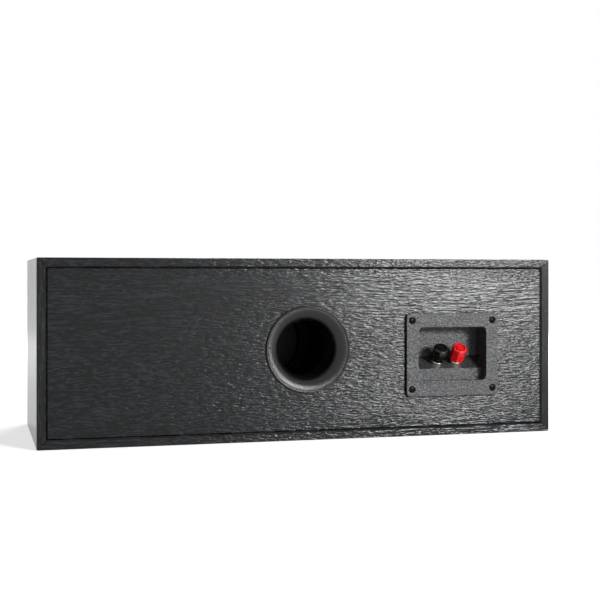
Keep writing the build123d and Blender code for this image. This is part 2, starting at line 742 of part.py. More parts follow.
    with BuildPart() as voice_coil:
        winding_start = COIL_REAR_DEPTH - COIL_WINDING_LENGTH
        with BuildSketch(plane):
            outline(
                (COIL_RADIUS - COIL_FORMER, COIL_FRONT_DEPTH),
                (COIL_RADIUS, COIL_FRONT_DEPTH),
                (COIL_RADIUS, winding_start),
                (COIL_RADIUS + COIL_WINDING, winding_start),
                (COIL_RADIUS + COIL_WINDING, COIL_REAR_DEPTH),
                (COIL_RADIUS - COIL_FORMER, COIL_REAR_DEPTH),
            )
        revolve(axis=axis)
    save(voice_coil, f"{side}_woofer_voice_coil")

    with BuildPart() as top_plate:
        with BuildSketch(plane):
            ring_section(COIL_RADIUS + COIL_WINDING + MAGNET_GAP, TOP_PLATE_RADIUS, plate_front, magnet_front)
        revolve(axis=axis)
    save(top_plate, f"{side}_woofer_top_plate")

    with BuildPart() as magnet:
        with BuildSketch(plane):
            ring_section(MAGNET_BORE_RADIUS, MAGNET_RADIUS, magnet_front, magnet_rear)
        revolve(axis=axis)
    save(magnet, f"{side}_woofer_magnet")

    with BuildPart() as yoke:
        with BuildSketch(plane):
            ring_section(0, COIL_RADIUS - COIL_FORMER - MAGNET_GAP, plate_front, magnet_rear)
            ring_section(0, TOP_PLATE_RADIUS, magnet_rear, magnet_rear + YOKE_PLATE)
        revolve(axis=axis)
    save(yoke, f"{side}_woofer_yoke")

with BuildPart() as woofer_screws:
    for plane in woofer_planes.values():
        seat = front_plane(y_baffle + flange_front)
        with BuildSketch(seat):
            with Locations((plane.origin.X, middle_z)):
                with PolarLocations(WOOFER_SCREW_CIRCLE, DRIVER_SCREWS, start_angle=DRIVER_SCREW_ANGLE):
                    Circle(DRIVER_SCREW_HEAD_RADIUS)
        extrude(amount=DRIVER_SCREW_HEAD)
        with BuildSketch(seat):
            with Locations((plane.origin.X, middle_z)):
                with PolarLocations(WOOFER_SCREW_CIRCLE, DRIVER_SCREWS, start_angle=DRIVER_SCREW_ANGLE):
                    Circle(DRIVER_SCREW_RADIUS)
        extrude(amount=-DRIVER_SCREW_LENGTH)
save(woofer_screws, "woofer_screws")

# Tweeter: a shallow horn plate over a fabric dome, with its own small motor
tweeter_plane = turning_plane(0, y_baffle, middle_z)
tweeter_axis = turning_axis(tweeter_plane)
tweeter_rear = TWEETER_PLATE + TWEETER_NECK
dome_rim_front = tweeter_rear - DOME_RIM
dome_base = dome_rim_front + DOME_SHEET
dome_outer_radius = TWEETER_COIL_RADIUS + DOME_SHEET
dome_inner_radius = dome_outer_radius - 2 * DOME_SHEET
tweeter_magnet_front = tweeter_rear + TWEETER_TOP_PLATE
tweeter_magnet_rear = tweeter_magnet_front + TWEETER_MAGNET

with BuildPart() as tweeter_faceplate:
    with BuildSketch(tweeter_plane):
        outline(
            (HORN_MOUTH_RADIUS, 0),
            (TWEETER_PLATE_RADIUS, 0),
            (TWEETER_PLATE_RADIUS, TWEETER_PLATE),
            (TWEETER_NECK_RADIUS, TWEETER_PLATE),
            (TWEETER_NECK_RADIUS, tweeter_rear),
            (DOME_RIM_RADIUS, tweeter_rear),
            (DOME_RIM_RADIUS, dome_rim_front),
            (HORN_THROAT_RADIUS, dome_rim_front),
            (HORN_THROAT_RADIUS, HORN_DEPTH),
        )
    revolve(axis=tweeter_axis)
    with Locations(front_plane(y_baffle)):
        with Locations((0, middle_z)):
            with PolarLocations(TWEETER_SCREW_CIRCLE, DRIVER_SCREWS, start_angle=DRIVER_SCREW_ANGLE):
                CounterBoreHole(
                    DRIVER_SCREW_RADIUS + SCREW_CLEARANCE / 2,
                    DRIVER_SCREW_HEAD_RADIUS + SCREW_CLEARANCE,
                    DRIVER_SCREW_HEAD,
                    TWEETER_PLATE,
                )
save(tweeter_faceplate, "tweeter_faceplate")

with BuildPart() as tweeter_dome:
    dome_crest = dome_base - DOME_RISE
    inner_crest = dome_crest + DOME_SHEET
    inner_rise = tweeter_rear - inner_crest
    outer_middle = dome_depth(dome_outer_radius / 2, dome_crest, DOME_RISE, dome_outer_radius)
    inner_middle = dome_depth(dome_inner_radius / 2, inner_crest, inner_rise, dome_inner_radius)
    with BuildSketch(tweeter_plane):
        with BuildLine():
            outer_arc = ThreePointArc(
                (0, dome_crest), (dome_outer_radius / 2, outer_middle), (dome_outer_radius, dome_base)
            )
            inner_arc = ThreePointArc(
                (dome_inner_radius, tweeter_rear), (dome_inner_radius / 2, inner_middle), (0, inner_crest)
            )
            Polyline(
                outer_arc @ 1,
                (HORN_THROAT_RADIUS, dome_base),
                (HORN_THROAT_RADIUS, dome_rim_front),
                (DOME_RIM_RADIUS, dome_rim_front),
                (DOME_RIM_RADIUS, tweeter_rear),
                inner_arc @ 0,
            )
            Line(inner_arc @ 1, outer_arc @ 0)
        make_face()
    revolve(axis=tweeter_axis)
save(tweeter_dome, "tweeter_dome")

with BuildPart() as tweeter_voice_coil:
    with BuildSketch(tweeter_plane):
        ring_section(
            TWEETER_COIL_RADIUS - COIL_FORMER,
            TWEETER_COIL_RADIUS,
            tweeter_rear,
            tweeter_rear + TWEETER_COIL_LENGTH,
        )
    revolve(axis=tweeter_axis)
save(tweeter_voice_coil, "tweeter_voice_coil")

with BuildPart() as tweeter_top_plate:
    with BuildSketch(tweeter_plane):
        ring_section(
            TWEETER_COIL_RADIUS + TWEETER_MAGNET_GAP,
            TWEETER_TOP_PLATE_RADIUS,
            tweeter_rear,
            tweeter_magnet_front,
        )
    revolve(axis=tweeter_axis)
save(tweeter_top_plate, "tweeter_top_plate")

with BuildPart() as tweeter_magnet:
    with BuildSketch(tweeter_plane):
        ring_section(
            TWEETER_MAGNET_BORE_RADIUS, TWEETER_MAGNET_RADIUS, tweeter_magnet_front, tweeter_magnet_rear
        )
    revolve(axis=tweeter_axis)
save(tweeter_magnet, "tweeter_magnet")

with BuildPart() as tweeter_yoke:
    tweeter_pole_radius = TWEETER_COIL_RADIUS - COIL_FORMER - TWEETER_MAGNET_GAP
    with BuildSketch(tweeter_plane):
        ring_section(0, tweeter_pole_radius, tweeter_rear + DOME_SHEET, tweeter_magnet_rear)
        ring_section(
            0, TWEETER_TOP_PLATE_RADIUS, tweeter_magnet_rear, tweeter_magnet_rear + TWEETER_YOKE_PLATE
        )
    revolve(axis=tweeter_axis)
save(tweeter_yoke, "tweeter_yoke")

with BuildPart() as tweeter_screws:
    seat = front_plane(y_baffle + DRIVER_SCREW_HEAD)
    with BuildSketch(seat):
        with Locations((0, middle_z)):
            with PolarLocations(TWEETER_SCREW_CIRCLE, DRIVER_SCREWS, start_angle=DRIVER_SCREW_ANGLE):
                Circle(DRIVER_SCREW_HEAD_RADIUS)
    extrude(amount=DRIVER_SCREW_HEAD)
    with BuildSketch(seat):
        with Locations((0, middle_z)):
            with PolarLocations(TWEETER_SCREW_CIRCLE, DRIVER_SCREWS, start_angle=DRIVER_SCREW_ANGLE):
                Circle(DRIVER_SCREW_RADIUS)
    extrude(amount=-(DRIVER_SCREW_LENGTH - DRIVER_SCREW_HEAD))
save(tweeter_screws, "tweeter_screws")

# Front baffle: drops into the front rebate, with a stepped hole for each driver and blind grille sockets
peg_spacing_x = (CABINET_WIDTH - 2 * PEG_INSET) / (PEG_COLUMNS - 1)
peg_spacing_z = CABINET_HEIGHT - 2 * PEG_INSET
with BuildPart() as front_baffle:
    with BuildSketch(front_plane(y_baffle + BAFFLE_THICKNESS)):
        with Locations((0, middle_z)):
            Rectangle(panel_width, panel_height)
    extrude(amount=BAFFLE_THICKNESS)
    chamfer(faces().sort_by(Axis.Y)[0].edges(), PANEL_CHAMFER)
    with Locations(front_plane(y_baffle)):
        for plane in woofer_planes.values():
            with Locations((plane.origin.X, middle_z)):
                CounterBoreHole(
                    BASKET_MOUTH_RADIUS + BASKET_SHEET + WOOFER_HOLE_GAP,
                    WOOFER_FRAME_RADIUS + DRIVER_GAP,
                    WOOFER_REBATE,
                )
                with PolarLocations(WOOFER_SCREW_CIRCLE, DRIVER_SCREWS, start_angle=DRIVER_SCREW_ANGLE):
                    Hole(DRIVER_SCREW_RADIUS)
        with Locations((0, middle_z)):
            CounterBoreHole(
                TWEETER_NECK_RADIUS + TWEETER_HOLE_GAP, TWEETER_PLATE_RADIUS + DRIVER_GAP, TWEETER_PLATE
            )
            with PolarLocations(TWEETER_SCREW_CIRCLE, DRIVER_SCREWS, start_angle=DRIVER_SCREW_ANGLE):
                Hole(DRIVER_SCREW_RADIUS)
            with GridLocations(peg_spacing_x, peg_spacing_z, PEG_COLUMNS, 2):
                Hole(SOCKET_RADIUS, SOCKET_DEPTH)
save(front_baffle, "front_baffle")

# Grille: a rounded frame with three windows, cloth stretched over it, and pegs that push into sockets
grille_back = y_front_edge - GRILLE_SEAT_GAP
grille_width = CABINET_WIDTH - 2 * GRILLE_INSET
grille_height = CABINET_HEIGHT - 2 * GRILLE_INSET


def grille_block(shrink):
    """The grille's whole rounded block, drawn in all over, apart from its back, by a thickness."""
    with BuildPart() as block:
        with BuildSketch(front_plane(grille_back)):
            with Locations((0, middle_z)):
                RectangleRounded(
                    grille_width - 2 * shrink, grille_height - 2 * shrink, GRILLE_CORNER - shrink
                )
        extrude(amount=GRILLE_FRAME_DEPTH + CLOTH - shrink)
        fillet(block.faces().sort_by(Axis.Y)[0].edges(), GRILLE_ROUND - shrink)
    return block.part


frame_block = grille_block(CLOTH)
mullion_x = peg_spacing_x / 2
window_height = grille_height - 2 * (CLOTH + GRILLE_RAIL)
middle_window = 2 * mullion_x - GRILLE_MULLION
side_window = grille_width / 2 - CLOTH - GRILLE_RAIL - mullion_x - GRILLE_MULLION / 2
side_window_x = mullion_x + GRILLE_MULLION / 2 + side_window / 2

with BuildPart() as grille_frame:
    add(frame_block)
    with BuildSketch(front_plane(grille_back)):
        with Locations((0, middle_z)):
            RectangleRounded(middle_window, window_height, GRILLE_WINDOW_CORNER)
        with Locations((-side_window_x, middle_z), (side_window_x, middle_z)):
            RectangleRounded(side_window, window_height, GRILLE_WINDOW_CORNER)
    extrude(amount=GRILLE_FRAME_DEPTH, mode=Mode.SUBTRACT)
    with BuildSketch(front_plane(grille_back)):
        with Locations((0, middle_z)):
            with GridLocations(peg_spacing_x, peg_spacing_z, PEG_COLUMNS, 2):
                Circle(PEG_RADIUS)
    extrude(amount=PEG_IN_FRAME, mode=Mode.SUBTRACT)
save(grille_frame, "grille_frame")

with BuildPart() as grille_cloth:
    add(grille_block(0))
    add(frame_block, mode=Mode.SUBTRACT)
save(grille_cloth, "grille_cloth")

peg_places = GridLocations(peg_spacing_x, peg_spacing_z, PEG_COLUMNS, 2).locations
with BuildPart() as grille_pegs:
    peg_start = grille_back - PEG_IN_FRAME - y_baffle
    for place in peg_places:
        plane = turning_plane(place.position.X, y_baffle, middle_z + place.position.Y)
        with BuildSketch(plane):
            outline(
                (0, peg_start),
                (PEG_RADIUS, peg_start),
                (PEG_RADIUS, PEG_SHANK),
                (PEG_BULB_RADIUS, PEG_BULB_START),
                (PEG_BULB_RADIUS, PEG_BULB_END),
                (PEG_RADIUS / 2, PEG_IN_BAFFLE),
                (0, PEG_IN_BAFFLE),
            )
        revolve(axis=turning_axis(plane))
save(grille_pegs, "grille_pegs")

with BuildPart() as grille_sockets:
    for place in peg_places:
        plane = turning_plane(place.position.X, y_baffle, middle_z + place.position.Y)
        bore = PEG_BULB_RADIUS + SOCKET_CLEARANCE
        with BuildSketch(plane):
            outline(
                (bore, -SOCKET_FLANGE),
                (SOCKET_FLANGE_RADIUS, -SOCKET_FLANGE),
                (SOCKET_FLANGE_RADIUS, 0),
                (SOCKET_RADIUS, 0),
                (SOCKET_RADIUS, SOCKET_DEPTH),
                (0, SOCKET_DEPTH),
                (0, PEG_IN_BAFFLE + SOCKET_CLEARANCE),
                (bore, PEG_IN_BAFFLE + SOCKET_CLEARANCE),
            )
        revolve(axis=turning_axis(plane))
save(grille_sockets, "grille_sockets")

# Crossover: a board on standoffs inside the back panel, with its coils, capacitor and resistor
board_x = CABINET_WIDTH / 2 - BOARD_INSET
board_z = middle_z - BOARD_DROP
y_board_back = y_back_inside - STANDOFF
y_board_front = y_board_back - BOARD
board_plane = Plane(origin=(board_x, y_board_front, board_z), x_dir=(1, 0, 0), z_dir=(0, -1, 0))

with BuildPart() as crossover_standoffs:
    with BuildSketch(board_plane.offset(-BOARD)):
        with GridLocations(BOARD_WIDTH - 2 * STANDOFF_INSET, BOARD_HEIGHT - 2 * STANDOFF_INSET, 2, 2):
            Circle(STANDOFF_RADIUS)
    extrude(amount=-STANDOFF)
save(crossover_standoffs, "crossover_standoffs")

with BuildPart() as crossover_board:
    with BuildSketch(board_plane):
        Rectangle(BOARD_WIDTH, BOARD_HEIGHT)
    extrude(amount=-BOARD)
save(crossover_board, "crossover_board")

first_x = PART_SPACING + STANDOFF_RADIUS + STANDOFF_INSET - BOARD_WIDTH / 2
woofer_coil_place = (first_x + WOOFER_COIL_RADIUS, BOARD_HEIGHT / 2 - PART_SPACING - WOOFER_COIL_RADIUS)
tweeter_coil_x = first_x + 2 * WOOFER_COIL_RADIUS + PART_SPACING + TWEETER_COIL_OUTER_RADIUS
tweeter_coil_place = (tweeter_coil_x, woofer_coil_place[1])
capacitor_x = first_x + CAPACITOR_RADIUS
capacitor_place = (
    capacitor_x,
    woofer_coil_place[1] - WOOFER_COIL_RADIUS - PART_SPACING - CAPACITOR_RADIUS,
)
resistor_place = (
    capacitor_x + CAPACITOR_RADIUS + PART_SPACING + RESISTOR_LENGTH / 2,
    capacitor_place[1],
)

with BuildPart() as woofer_inductor:
    with BuildSketch(board_plane):
        with Locations(woofer_coil_place):
            Circle(WOOFER_COIL_RADIUS)
            Circle(WOOFER_COIL_CORE_RADIUS, mode=Mode.SUBTRACT)
    extrude(amount=WOOFER_COIL_HEIGHT)
save(woofer_inductor, "woofer_inductor")

with BuildPart() as tweeter_inductor:
    with BuildSketch(board_plane):
        with Locations(tweeter_coil_place):
            Circle(TWEETER_COIL_OUTER_RADIUS)
            Circle(TWEETER_COIL_CORE_RADIUS, mode=Mode.SUBTRACT)
    extrude(amount=TWEETER_COIL_HEIGHT)
save(tweeter_inductor, "tweeter_inductor")

with BuildPart() as tweeter_capacitor:
    with BuildSketch(board_plane):
        with Locations(capacitor_place):
            Circle(CAPACITOR_RADIUS)
    extrude(amount=CAPACITOR_HEIGHT)
    chamfer(faces().sort_by(Axis.Y)[0].edges(), CAPACITOR_EDGE)
save(tweeter_capacitor, "tweeter_capacitor")

with BuildPart() as tweeter_resistor:
    with BuildSketch(board_plane):
        with Locations(resistor_place):
            Rectangle(RESISTOR_LENGTH, RESISTOR_SIDE)
    extrude(amount=RESISTOR_SIDE)
save(tweeter_resistor, "tweeter_resistor")

# Wiring: pairs of insulated wires from the lugs and the drivers to the lower part of the board


def wire(*points):
    """One insulated wire along straight runs joined by bends."""
    with BuildLine() as route:
        if len(points) > 2:
            FilletPolyline(*points, radius=WIRE_BEND)
        else:
            Line(*points)
    with BuildSketch(Plane(origin=route.line @ 0, z_dir=route.line % 0)) as section:
        Circle(WIRE_RADIUS)
    sweep(section.sketch, path=route.line)


def landing_x(slot):
    """Where along the board a wire lands, counted in wire pitches from the board's inner edge."""
    return board_x - BOARD_WIDTH / 2 + slot * WIRE_PITCH


ledge_middle = BASKET_LEDGE_RADIUS - BASKET_LEDGE_WIDTH / 2 + BASKET_SHEET
y_ledge_back = y_baffle + BASKET_LEDGE_DEPTH + BASKET_SHEET
woofer_wire_z = middle_z - math.sqrt(ledge_middle**2 - (WIRE_PITCH / 2) ** 2)
with BuildPart() as woofer_wires:
    for place in (-WIRE_PITCH / 2, WIRE_PITCH / 2):
        wire(
            (woofer_x + place, y_ledge_back, woofer_wire_z),
            (woofer_x + place, y_board_front, woofer_wire_z),
        )
    for place, slot in ((-WIRE_PITCH / 2, 1), (WIRE_PITCH / 2, 2)):
        run_y = y_ledge_back + WOOFER_WIRE_REACH - place
        wire(
            (place - woofer_x, y_ledge_back, woofer_wire_z),
            (place - woofer_x, run_y, woofer_wire_z),
            (landing_x(slot), run_y, woofer_wire_z),
            (landing_x(slot), y_board_front, woofer_wire_z),
        )
save(woofer_wires, "woofer_wires")

tweeter_wire_radius = (TWEETER_MAGNET_RADIUS + TWEETER_NECK_RADIUS) / 2
tweeter_wire_x = math.sqrt(tweeter_wire_radius**2 - (WIRE_PITCH / 2) ** 2)
tweeter_run_z = woofer_wire_z - WIRE_PITCH
with BuildPart() as tweeter_wires:
    for place, slot in ((WIRE_PITCH / 2, 3), (-WIRE_PITCH / 2, 4)):
        run_y = y_baffle + tweeter_rear + TWEETER_WIRE_REACH + place
        wire(
            (tweeter_wire_x, y_baffle + tweeter_rear, middle_z + place),
            (tweeter_wire_x, run_y, middle_z + place),
            (tweeter_wire_x, run_y, tweeter_run_z),
            (landing_x(slot), run_y, tweeter_run_z),
            (landing_x(slot), y_board_front, tweeter_run_z),
        )
save(tweeter_wires, "tweeter_wires")

with BuildPart() as terminal_wires:
    for plane, drop, slot in ((post_planes[0], 1, 5), (post_planes[1], 2, 6)):
        run_z = tweeter_run_z - drop * WIRE_PITCH
        start = plane.origin + post_direction * nut_start + plane.z_dir * (LUG_TAIL - 2 * WIRE_RADIUS)
        turn = start - post_direction * ((start.Z - run_z) / post_direction.Z)
        wire(
            start,
            turn,
            (landing_x(slot), turn.Y, run_z),
            (landing_x(slot), y_board_front, run_z),
        )
save(terminal_wires, "terminal_wires")

# Damping: a pad of wadding against each side panel
with BuildPart() as damping_pads:
    pad_height = inside_height - 2 * PAD_MARGIN
    y_pad = (y_baffle + BAFFLE_THICKNESS + y_back_inside) / 2
    for side in (-1, 1):
        with BuildSketch(side_plane(side * inside_width / 2)):
            with Locations((y_pad, middle_z)):
                RectangleRounded(PAD_WIDTH, pad_height, PAD_ROUND)
        extrude(amount=-side * PAD_THICKNESS)
save(damping_pads, "damping_pads")
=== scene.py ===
"""Looks of a center channel speaker.

Black woodgrain vinyl, moulded fittings, drivers and a cloth grille.
"""

import json
import math

import bmesh
import bpy
from bpy.props import FloatProperty, FloatVectorProperty, IntProperty, PointerProperty
from mathutils import Matrix, Vector


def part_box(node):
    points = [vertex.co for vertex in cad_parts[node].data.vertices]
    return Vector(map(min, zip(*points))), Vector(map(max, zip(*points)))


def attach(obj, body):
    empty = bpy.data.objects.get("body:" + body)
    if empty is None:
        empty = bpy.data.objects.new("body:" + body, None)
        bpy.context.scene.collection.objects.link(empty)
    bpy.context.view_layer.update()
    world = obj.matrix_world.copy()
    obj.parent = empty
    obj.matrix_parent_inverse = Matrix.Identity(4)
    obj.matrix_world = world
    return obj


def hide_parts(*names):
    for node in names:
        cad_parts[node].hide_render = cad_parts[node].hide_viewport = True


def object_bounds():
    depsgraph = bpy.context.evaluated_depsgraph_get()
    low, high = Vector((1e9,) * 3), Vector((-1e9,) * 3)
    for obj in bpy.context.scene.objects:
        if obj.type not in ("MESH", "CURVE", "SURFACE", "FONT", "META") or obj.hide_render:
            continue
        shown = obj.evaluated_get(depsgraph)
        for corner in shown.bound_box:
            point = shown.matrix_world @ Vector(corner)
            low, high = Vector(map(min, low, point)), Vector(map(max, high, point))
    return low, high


bl_info = {
    "name": "Center Channel Speaker",
    "version": (1, 0, 0),
    "blender": (4, 5, 0),
    "location": "3D View > Sidebar > Speaker",
    "description": "Dresses the frame of a center channel speaker and sets up its studio",
    "category": "Object",
}

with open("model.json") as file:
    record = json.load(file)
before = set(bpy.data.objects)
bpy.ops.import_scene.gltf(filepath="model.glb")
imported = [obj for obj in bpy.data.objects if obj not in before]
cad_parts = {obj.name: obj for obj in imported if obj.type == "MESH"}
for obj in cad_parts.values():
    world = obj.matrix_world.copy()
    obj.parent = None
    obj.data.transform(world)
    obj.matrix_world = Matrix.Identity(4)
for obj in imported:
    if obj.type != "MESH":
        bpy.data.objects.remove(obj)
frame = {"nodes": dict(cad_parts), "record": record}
CAD_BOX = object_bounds()
NODES = frame["nodes"]
SIDES = ("left", "right")
REAR_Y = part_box("top_panel")[1].y
CABINET_MIDDLE = (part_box("top_panel")[1].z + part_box("bottom_panel")[0].z) / 2
WINDOWS = [
    opening["box_m"]
    for opening in frame["record"]["physics"]["openings"]
    if "window" in opening["name"]
]
WHITE = (1.0, 1.0, 1.0, 1.0)
SHARP_EDGE = math.radians(35)
SAME_PLACE = 1e-6
QUARTER_TURN = math.pi / 2

# Sockets of a mix node that mixes colours
MIX_INPUTS = (0, 6, 7)
MIX_RESULT = 2

# Screw heads and drives, as shares of the head's radius
HEAD_PROFILE = ((0.0, 0.0), (0.35, 0.02), (0.7, 0.09), (0.9, 0.2), (1.0, 0.33), (1.0, 0.42))
SHANK_RADIUS = 0.5
DRIVE_REACH = 0.62
DRIVE_WIDTH = 0.24
DRIVE_DEPTH = 0.3
DRIVE_TAPER = 0.45
SCREW_STEPS = 40
SHANK_LENGTH_SHARE = 0.8
SCREW_TURN = Vector((400.0, 0.0, 700.0))


def colour_property(name, description, default):
    return FloatVectorProperty(
        name=name, description=description, subtype="COLOR", size=3,
        min=0.0, max=1.0, default=default,
    )


def length_property(name, description, default):
    return FloatProperty(
        name=name, description=description, unit="LENGTH", min=0.0, default=default
    )


def share_property(name, description, default):
    return FloatProperty(
        name=name, description=description, subtype="FACTOR", min=0.0, max=1.0, default=default
    )


class CabinetFinish(bpy.types.PropertyGroup):
    vinyl_colour: colour_property(
        "Vinyl", "Black between the streaks of the woodgrain", (0.0010, 0.0012, 0.0016)
    )
    streak_colour: colour_property(
        "Streak", "Greyer streaks of the woodgrain", (0.0145, 0.0162, 0.0195)
    )
    streak_length: length_property(
        "Streak length", "Usual length of a streak in straight grain", 0.032
    )
    streak_width: length_property(
        "Streak width", "Usual width of a streak in straight grain", 0.0020
    )
    fleck_length: length_property("Fleck length", "Usual length of a fleck in wild grain", 0.0075)
    fleck_width: length_property("Fleck width", "Usual width of a fleck in wild grain", 0.0015)
    pore_length: length_property("Pore length", "Usual length of a woodgrain pore", 0.006)
    pore_width: length_property("Pore width", "Usual width of a woodgrain pore", 0.0009)
    pore_share: share_property("Pore share", "Depth of a pore against that of a streak", 0.3)
    figure_length: length_property(
        "Figure length", "Length over which straight grain turns wild", 0.40
    )
    figure_width: length_property(
        "Figure width", "Width over which straight grain turns wild", 0.060
    )
    figure_sway: length_property("Figure sway", "How far the grain wanders from straight", 0.009)
    sway_length: length_property("Sway length", "Length over which the grain wanders", 0.16)
    sway_width: length_property("Sway width", "Width over which the grain wanders", 0.045)
    emboss_depth: length_property("Emboss depth", "How deep the woodgrain is embossed", 0.00072)
    side_emboss_depth: length_property(
        "Side emboss", "How deep the side panels are embossed", 0.00012
    )
    vinyl_roughness: share_property(
        "Vinyl roughness", "How far the vinyl spreads a highlight", 0.19
    )
    hollow_roughness: share_property(
        "Hollow roughness", "How much further it does so between the streaks", 0.05
    )
    vinyl_gloss: share_property("Vinyl gloss", "How much light the vinyl mirrors", 0.24)
    baffle_colour: colour_property(
        "Baffle", "Plain black vinyl of the front baffle", (0.012, 0.012, 0.012)
    )


class FittingFinish(bpy.types.PropertyGroup):
    cup_colour: colour_property(
        "Cup", "Spark-eroded black plastic of the terminal cup", (0.032, 0.033, 0.035)
    )
    cup_grain: length_property("Cup grain", "Size of the cup's moulded texture", 0.0017)
    port_colour: colour_property("Port", "Glossy black plastic of the port", (0.003, 0.003, 0.0033))
    black_cap_colour: colour_property(
        "Black cap", "Plastic of the black post cap", (0.006, 0.006, 0.0065)
    )
    red_cap_colour: colour_property("Red cap", "Plastic of the red post cap", (0.74, 0.010, 0.016))
    plating_colour: colour_property("Plating", "Bright plating of the posts", (0.86, 0.82, 0.74))
    screw_colour: colour_property("Screws", "Black oxide of the screws", (0.0010, 0.0010, 0.0011))
    foam_colour: colour_property("Foam", "Foam of the cup's gasket", (0.02, 0.02, 0.02))


class DriverFinish(bpy.types.PropertyGroup):
    cone_colour: colour_property("Cone", "Black polymer of the woofer cones", (0.022, 0.022, 0.023))
    rubber_colour: colour_property("Rubber", "Rubber of the surrounds", (0.014, 0.014, 0.014))
    paint_colour: colour_property(
        "Basket paint", "Paint of the pressed baskets", (0.014, 0.014, 0.015)
    )
    steel_colour: colour_property(
        "Plates", "Black zinc on the steel of the motors", (0.055, 0.055, 0.06)
    )
    copper_colour: colour_property("Copper", "Enamelled winding wire", (0.62, 0.24, 0.09))
    spider_colour: colour_property("Spider", "Resin-dipped cloth of the spiders", (0.46, 0.30, 0.11))
    ferrite_colour: colour_property("Ferrite", "Ceramic of the magnets", (0.05, 0.05, 0.052))
    dome_colour: colour_property("Dome", "Coated cloth of the dome", (0.03, 0.03, 0.032))


class GrilleFinish(bpy.types.PropertyGroup):
    board_colour: colour_property("Board", "Painted board of the frame", (0.02, 0.02, 0.02))
    cloth_colour: colour_property("Cloth", "Yarn of the grille cloth", (0.010, 0.010, 0.010))
    stitch: length_property("Stitch", "Distance between stitches of the knit", 0.0014)
    cloth_corner: length_property("Cloth corner", "Radius of the covered frame's corners", 0.005)
    cloth_round: length_property("Cloth round", "Radius of the covered frame's front edge", 0.004)
    cloth_hem: length_property("Cloth hem", "Cloth turned over behind the frame", 0.009)
    cloth_fold: length_property("Cloth fold", "Width of the fold at the frame's rear edge", 0.0005)
    cloth_lift: length_property("Cloth lift", "How far the hem lies behind the frame", 0.00015)
    cloth_dish: length_property(
        "Cloth dish", "How far the cloth draws in over an open window", 0.0012
    )
    cloth_steps: IntProperty(
        name="Cloth steps", description="Divisions around each rounded edge", default=8
    )
    cloth_rings: IntProperty(
        name="Cloth rings", description="Divisions from the front's edge to its middle", default=18
    )


class CrossoverFinish(bpy.types.PropertyGroup):
    board_colour: colour_property("Board", "Laminate of the board", (0.30, 0.17, 0.06))
    nylon_colour: colour_property("Standoffs", "Nylon of the standoffs", (0.7, 0.69, 0.64))
    sleeve_colour: colour_property("Sleeve", "Sleeve of the capacitor", (0.03, 0.05, 0.22))
    cement_colour: colour_property("Cement", "Cement of the resistor", (0.66, 0.64, 0.57))
    wire_colour: colour_property("Wire", "Insulation of the wires", (0.02, 0.02, 0.02))
    wadding_colour: colour_property("Wadding", "Fibre of the pads", (0.12, 0.12, 0.125))
    pad_waist: share_property("Pad waist", "How far a pad's sides draw in", 0.05)
    pad_rise: share_property("Pad rise", "Height of a pad against its room", 0.95)
    pad_tuft: share_property("Pad tuft", "Height of a pad's tufts against its room", 0.04)
    pad_steps: IntProperty(name="Pad steps", description="Divisions along a pad", default=44)


class StudioSetup(bpy.types.PropertyGroup):
    lens: FloatProperty(name="Lens", description="Focal length in millimetres", default=69.8)
    camera_place: FloatVectorProperty(
        name="Camera", description="Where the camera stands", subtype="XYZ", unit="LENGTH",
        default=(0.2920, REAR_Y + 1.0163, 0.1473),
    )
    camera_turn: FloatProperty(
        name="Camera turn", description="Turn of the camera from square on to the rear",
        subtype="ANGLE", default=math.radians(15.62),
    )
    camera_rise: FloatProperty(
        name="Camera rise", description="Rising front of the lens", default=-0.0364
    )
    key_power: FloatProperty(
        name="Key", description="Power of the key lamp", unit="POWER", default=64.0
    )
    front_power: FloatProperty(
        name="Front", description="Power of the lamp before the grille", unit="POWER", default=25.0
    )
    room_light: FloatProperty(
        name="Room", description="Strength of the even light around", default=0.11
    )
    room_colour: colour_property("Room colour", "Colour of the even light", (0.93, 0.96, 1.0))
    floor_glow: FloatProperty(
        name="Floor glow", default=0.86,
        description="How much of its white the far floor shows by itself",
    )
    floor_glow_near: FloatProperty(
        name="Floor glow near", description="The same, close to the object", default=0.66
    )
    floor_near: length_property("Floor near", "How far out the floor counts as close", 0.4)
    floor_far: length_property("Floor far", "How far out the floor counts as far", 2.2)
    floor_radius: length_property("Floor radius", "How far the floor reaches", 14.0)
    floor_gap: length_property("Floor gap", "How far the floor lies below the object", 0.0002)
    floor_colour: colour_property("Floor", "Pale floor", (0.93, 0.93, 0.93))


# Shader helpers


def new_material(name):
    """A material with its node tree and its principled shader."""
    made = bpy.data.materials.new(name)
    made.use_nodes = True
    return made, made.node_tree, made.node_tree.nodes["Principled BSDF"]


def add_node(tree, kind, values=None, **settings):
    """A node with some of its sockets and settings filled in."""
    node = tree.nodes.new(kind)
    for key, value in settings.items():
        setattr(node, key, value)
    for key, value in (values or {}).items():
        node.inputs[key].default_value = value
    return node


def fill(tree, sockets, values):
    """Links each value that is a socket, and sets each one that isn't."""
    for socket, value in zip(sockets, values):
        if isinstance(value, bpy.types.NodeSocket):
            tree.links.new(value, socket)
        else:
            socket.default_value = value


def arithmetic(tree, operation, *values, kind="ShaderNodeMath"):
    """The result of an operation on sockets or fixed values."""
    node = add_node(tree, kind, operation=operation)
    fill(tree, node.inputs, values)
    return node.outputs[0]


def vector_arithmetic(tree, operation, *values):
    return arithmetic(tree, operation, *values, kind="ShaderNodeVectorMath")


def object_place(tree):
    """Object coordinates, in metres."""
    return add_node(tree, "ShaderNodeTexCoord").outputs["Object"]


def scaled(tree, vector, scale):
    """A vector scaled along each axis."""
    mapping = add_node(tree, "ShaderNodeMapping", {"Scale": scale})
    tree.links.new(vector, mapping.inputs["Vector"])
    return mapping.outputs["Vector"]


def stretched(tree, scale):
    """Object coordinates scaled along each axis."""
    return scaled(tree, object_place(tree), scale)


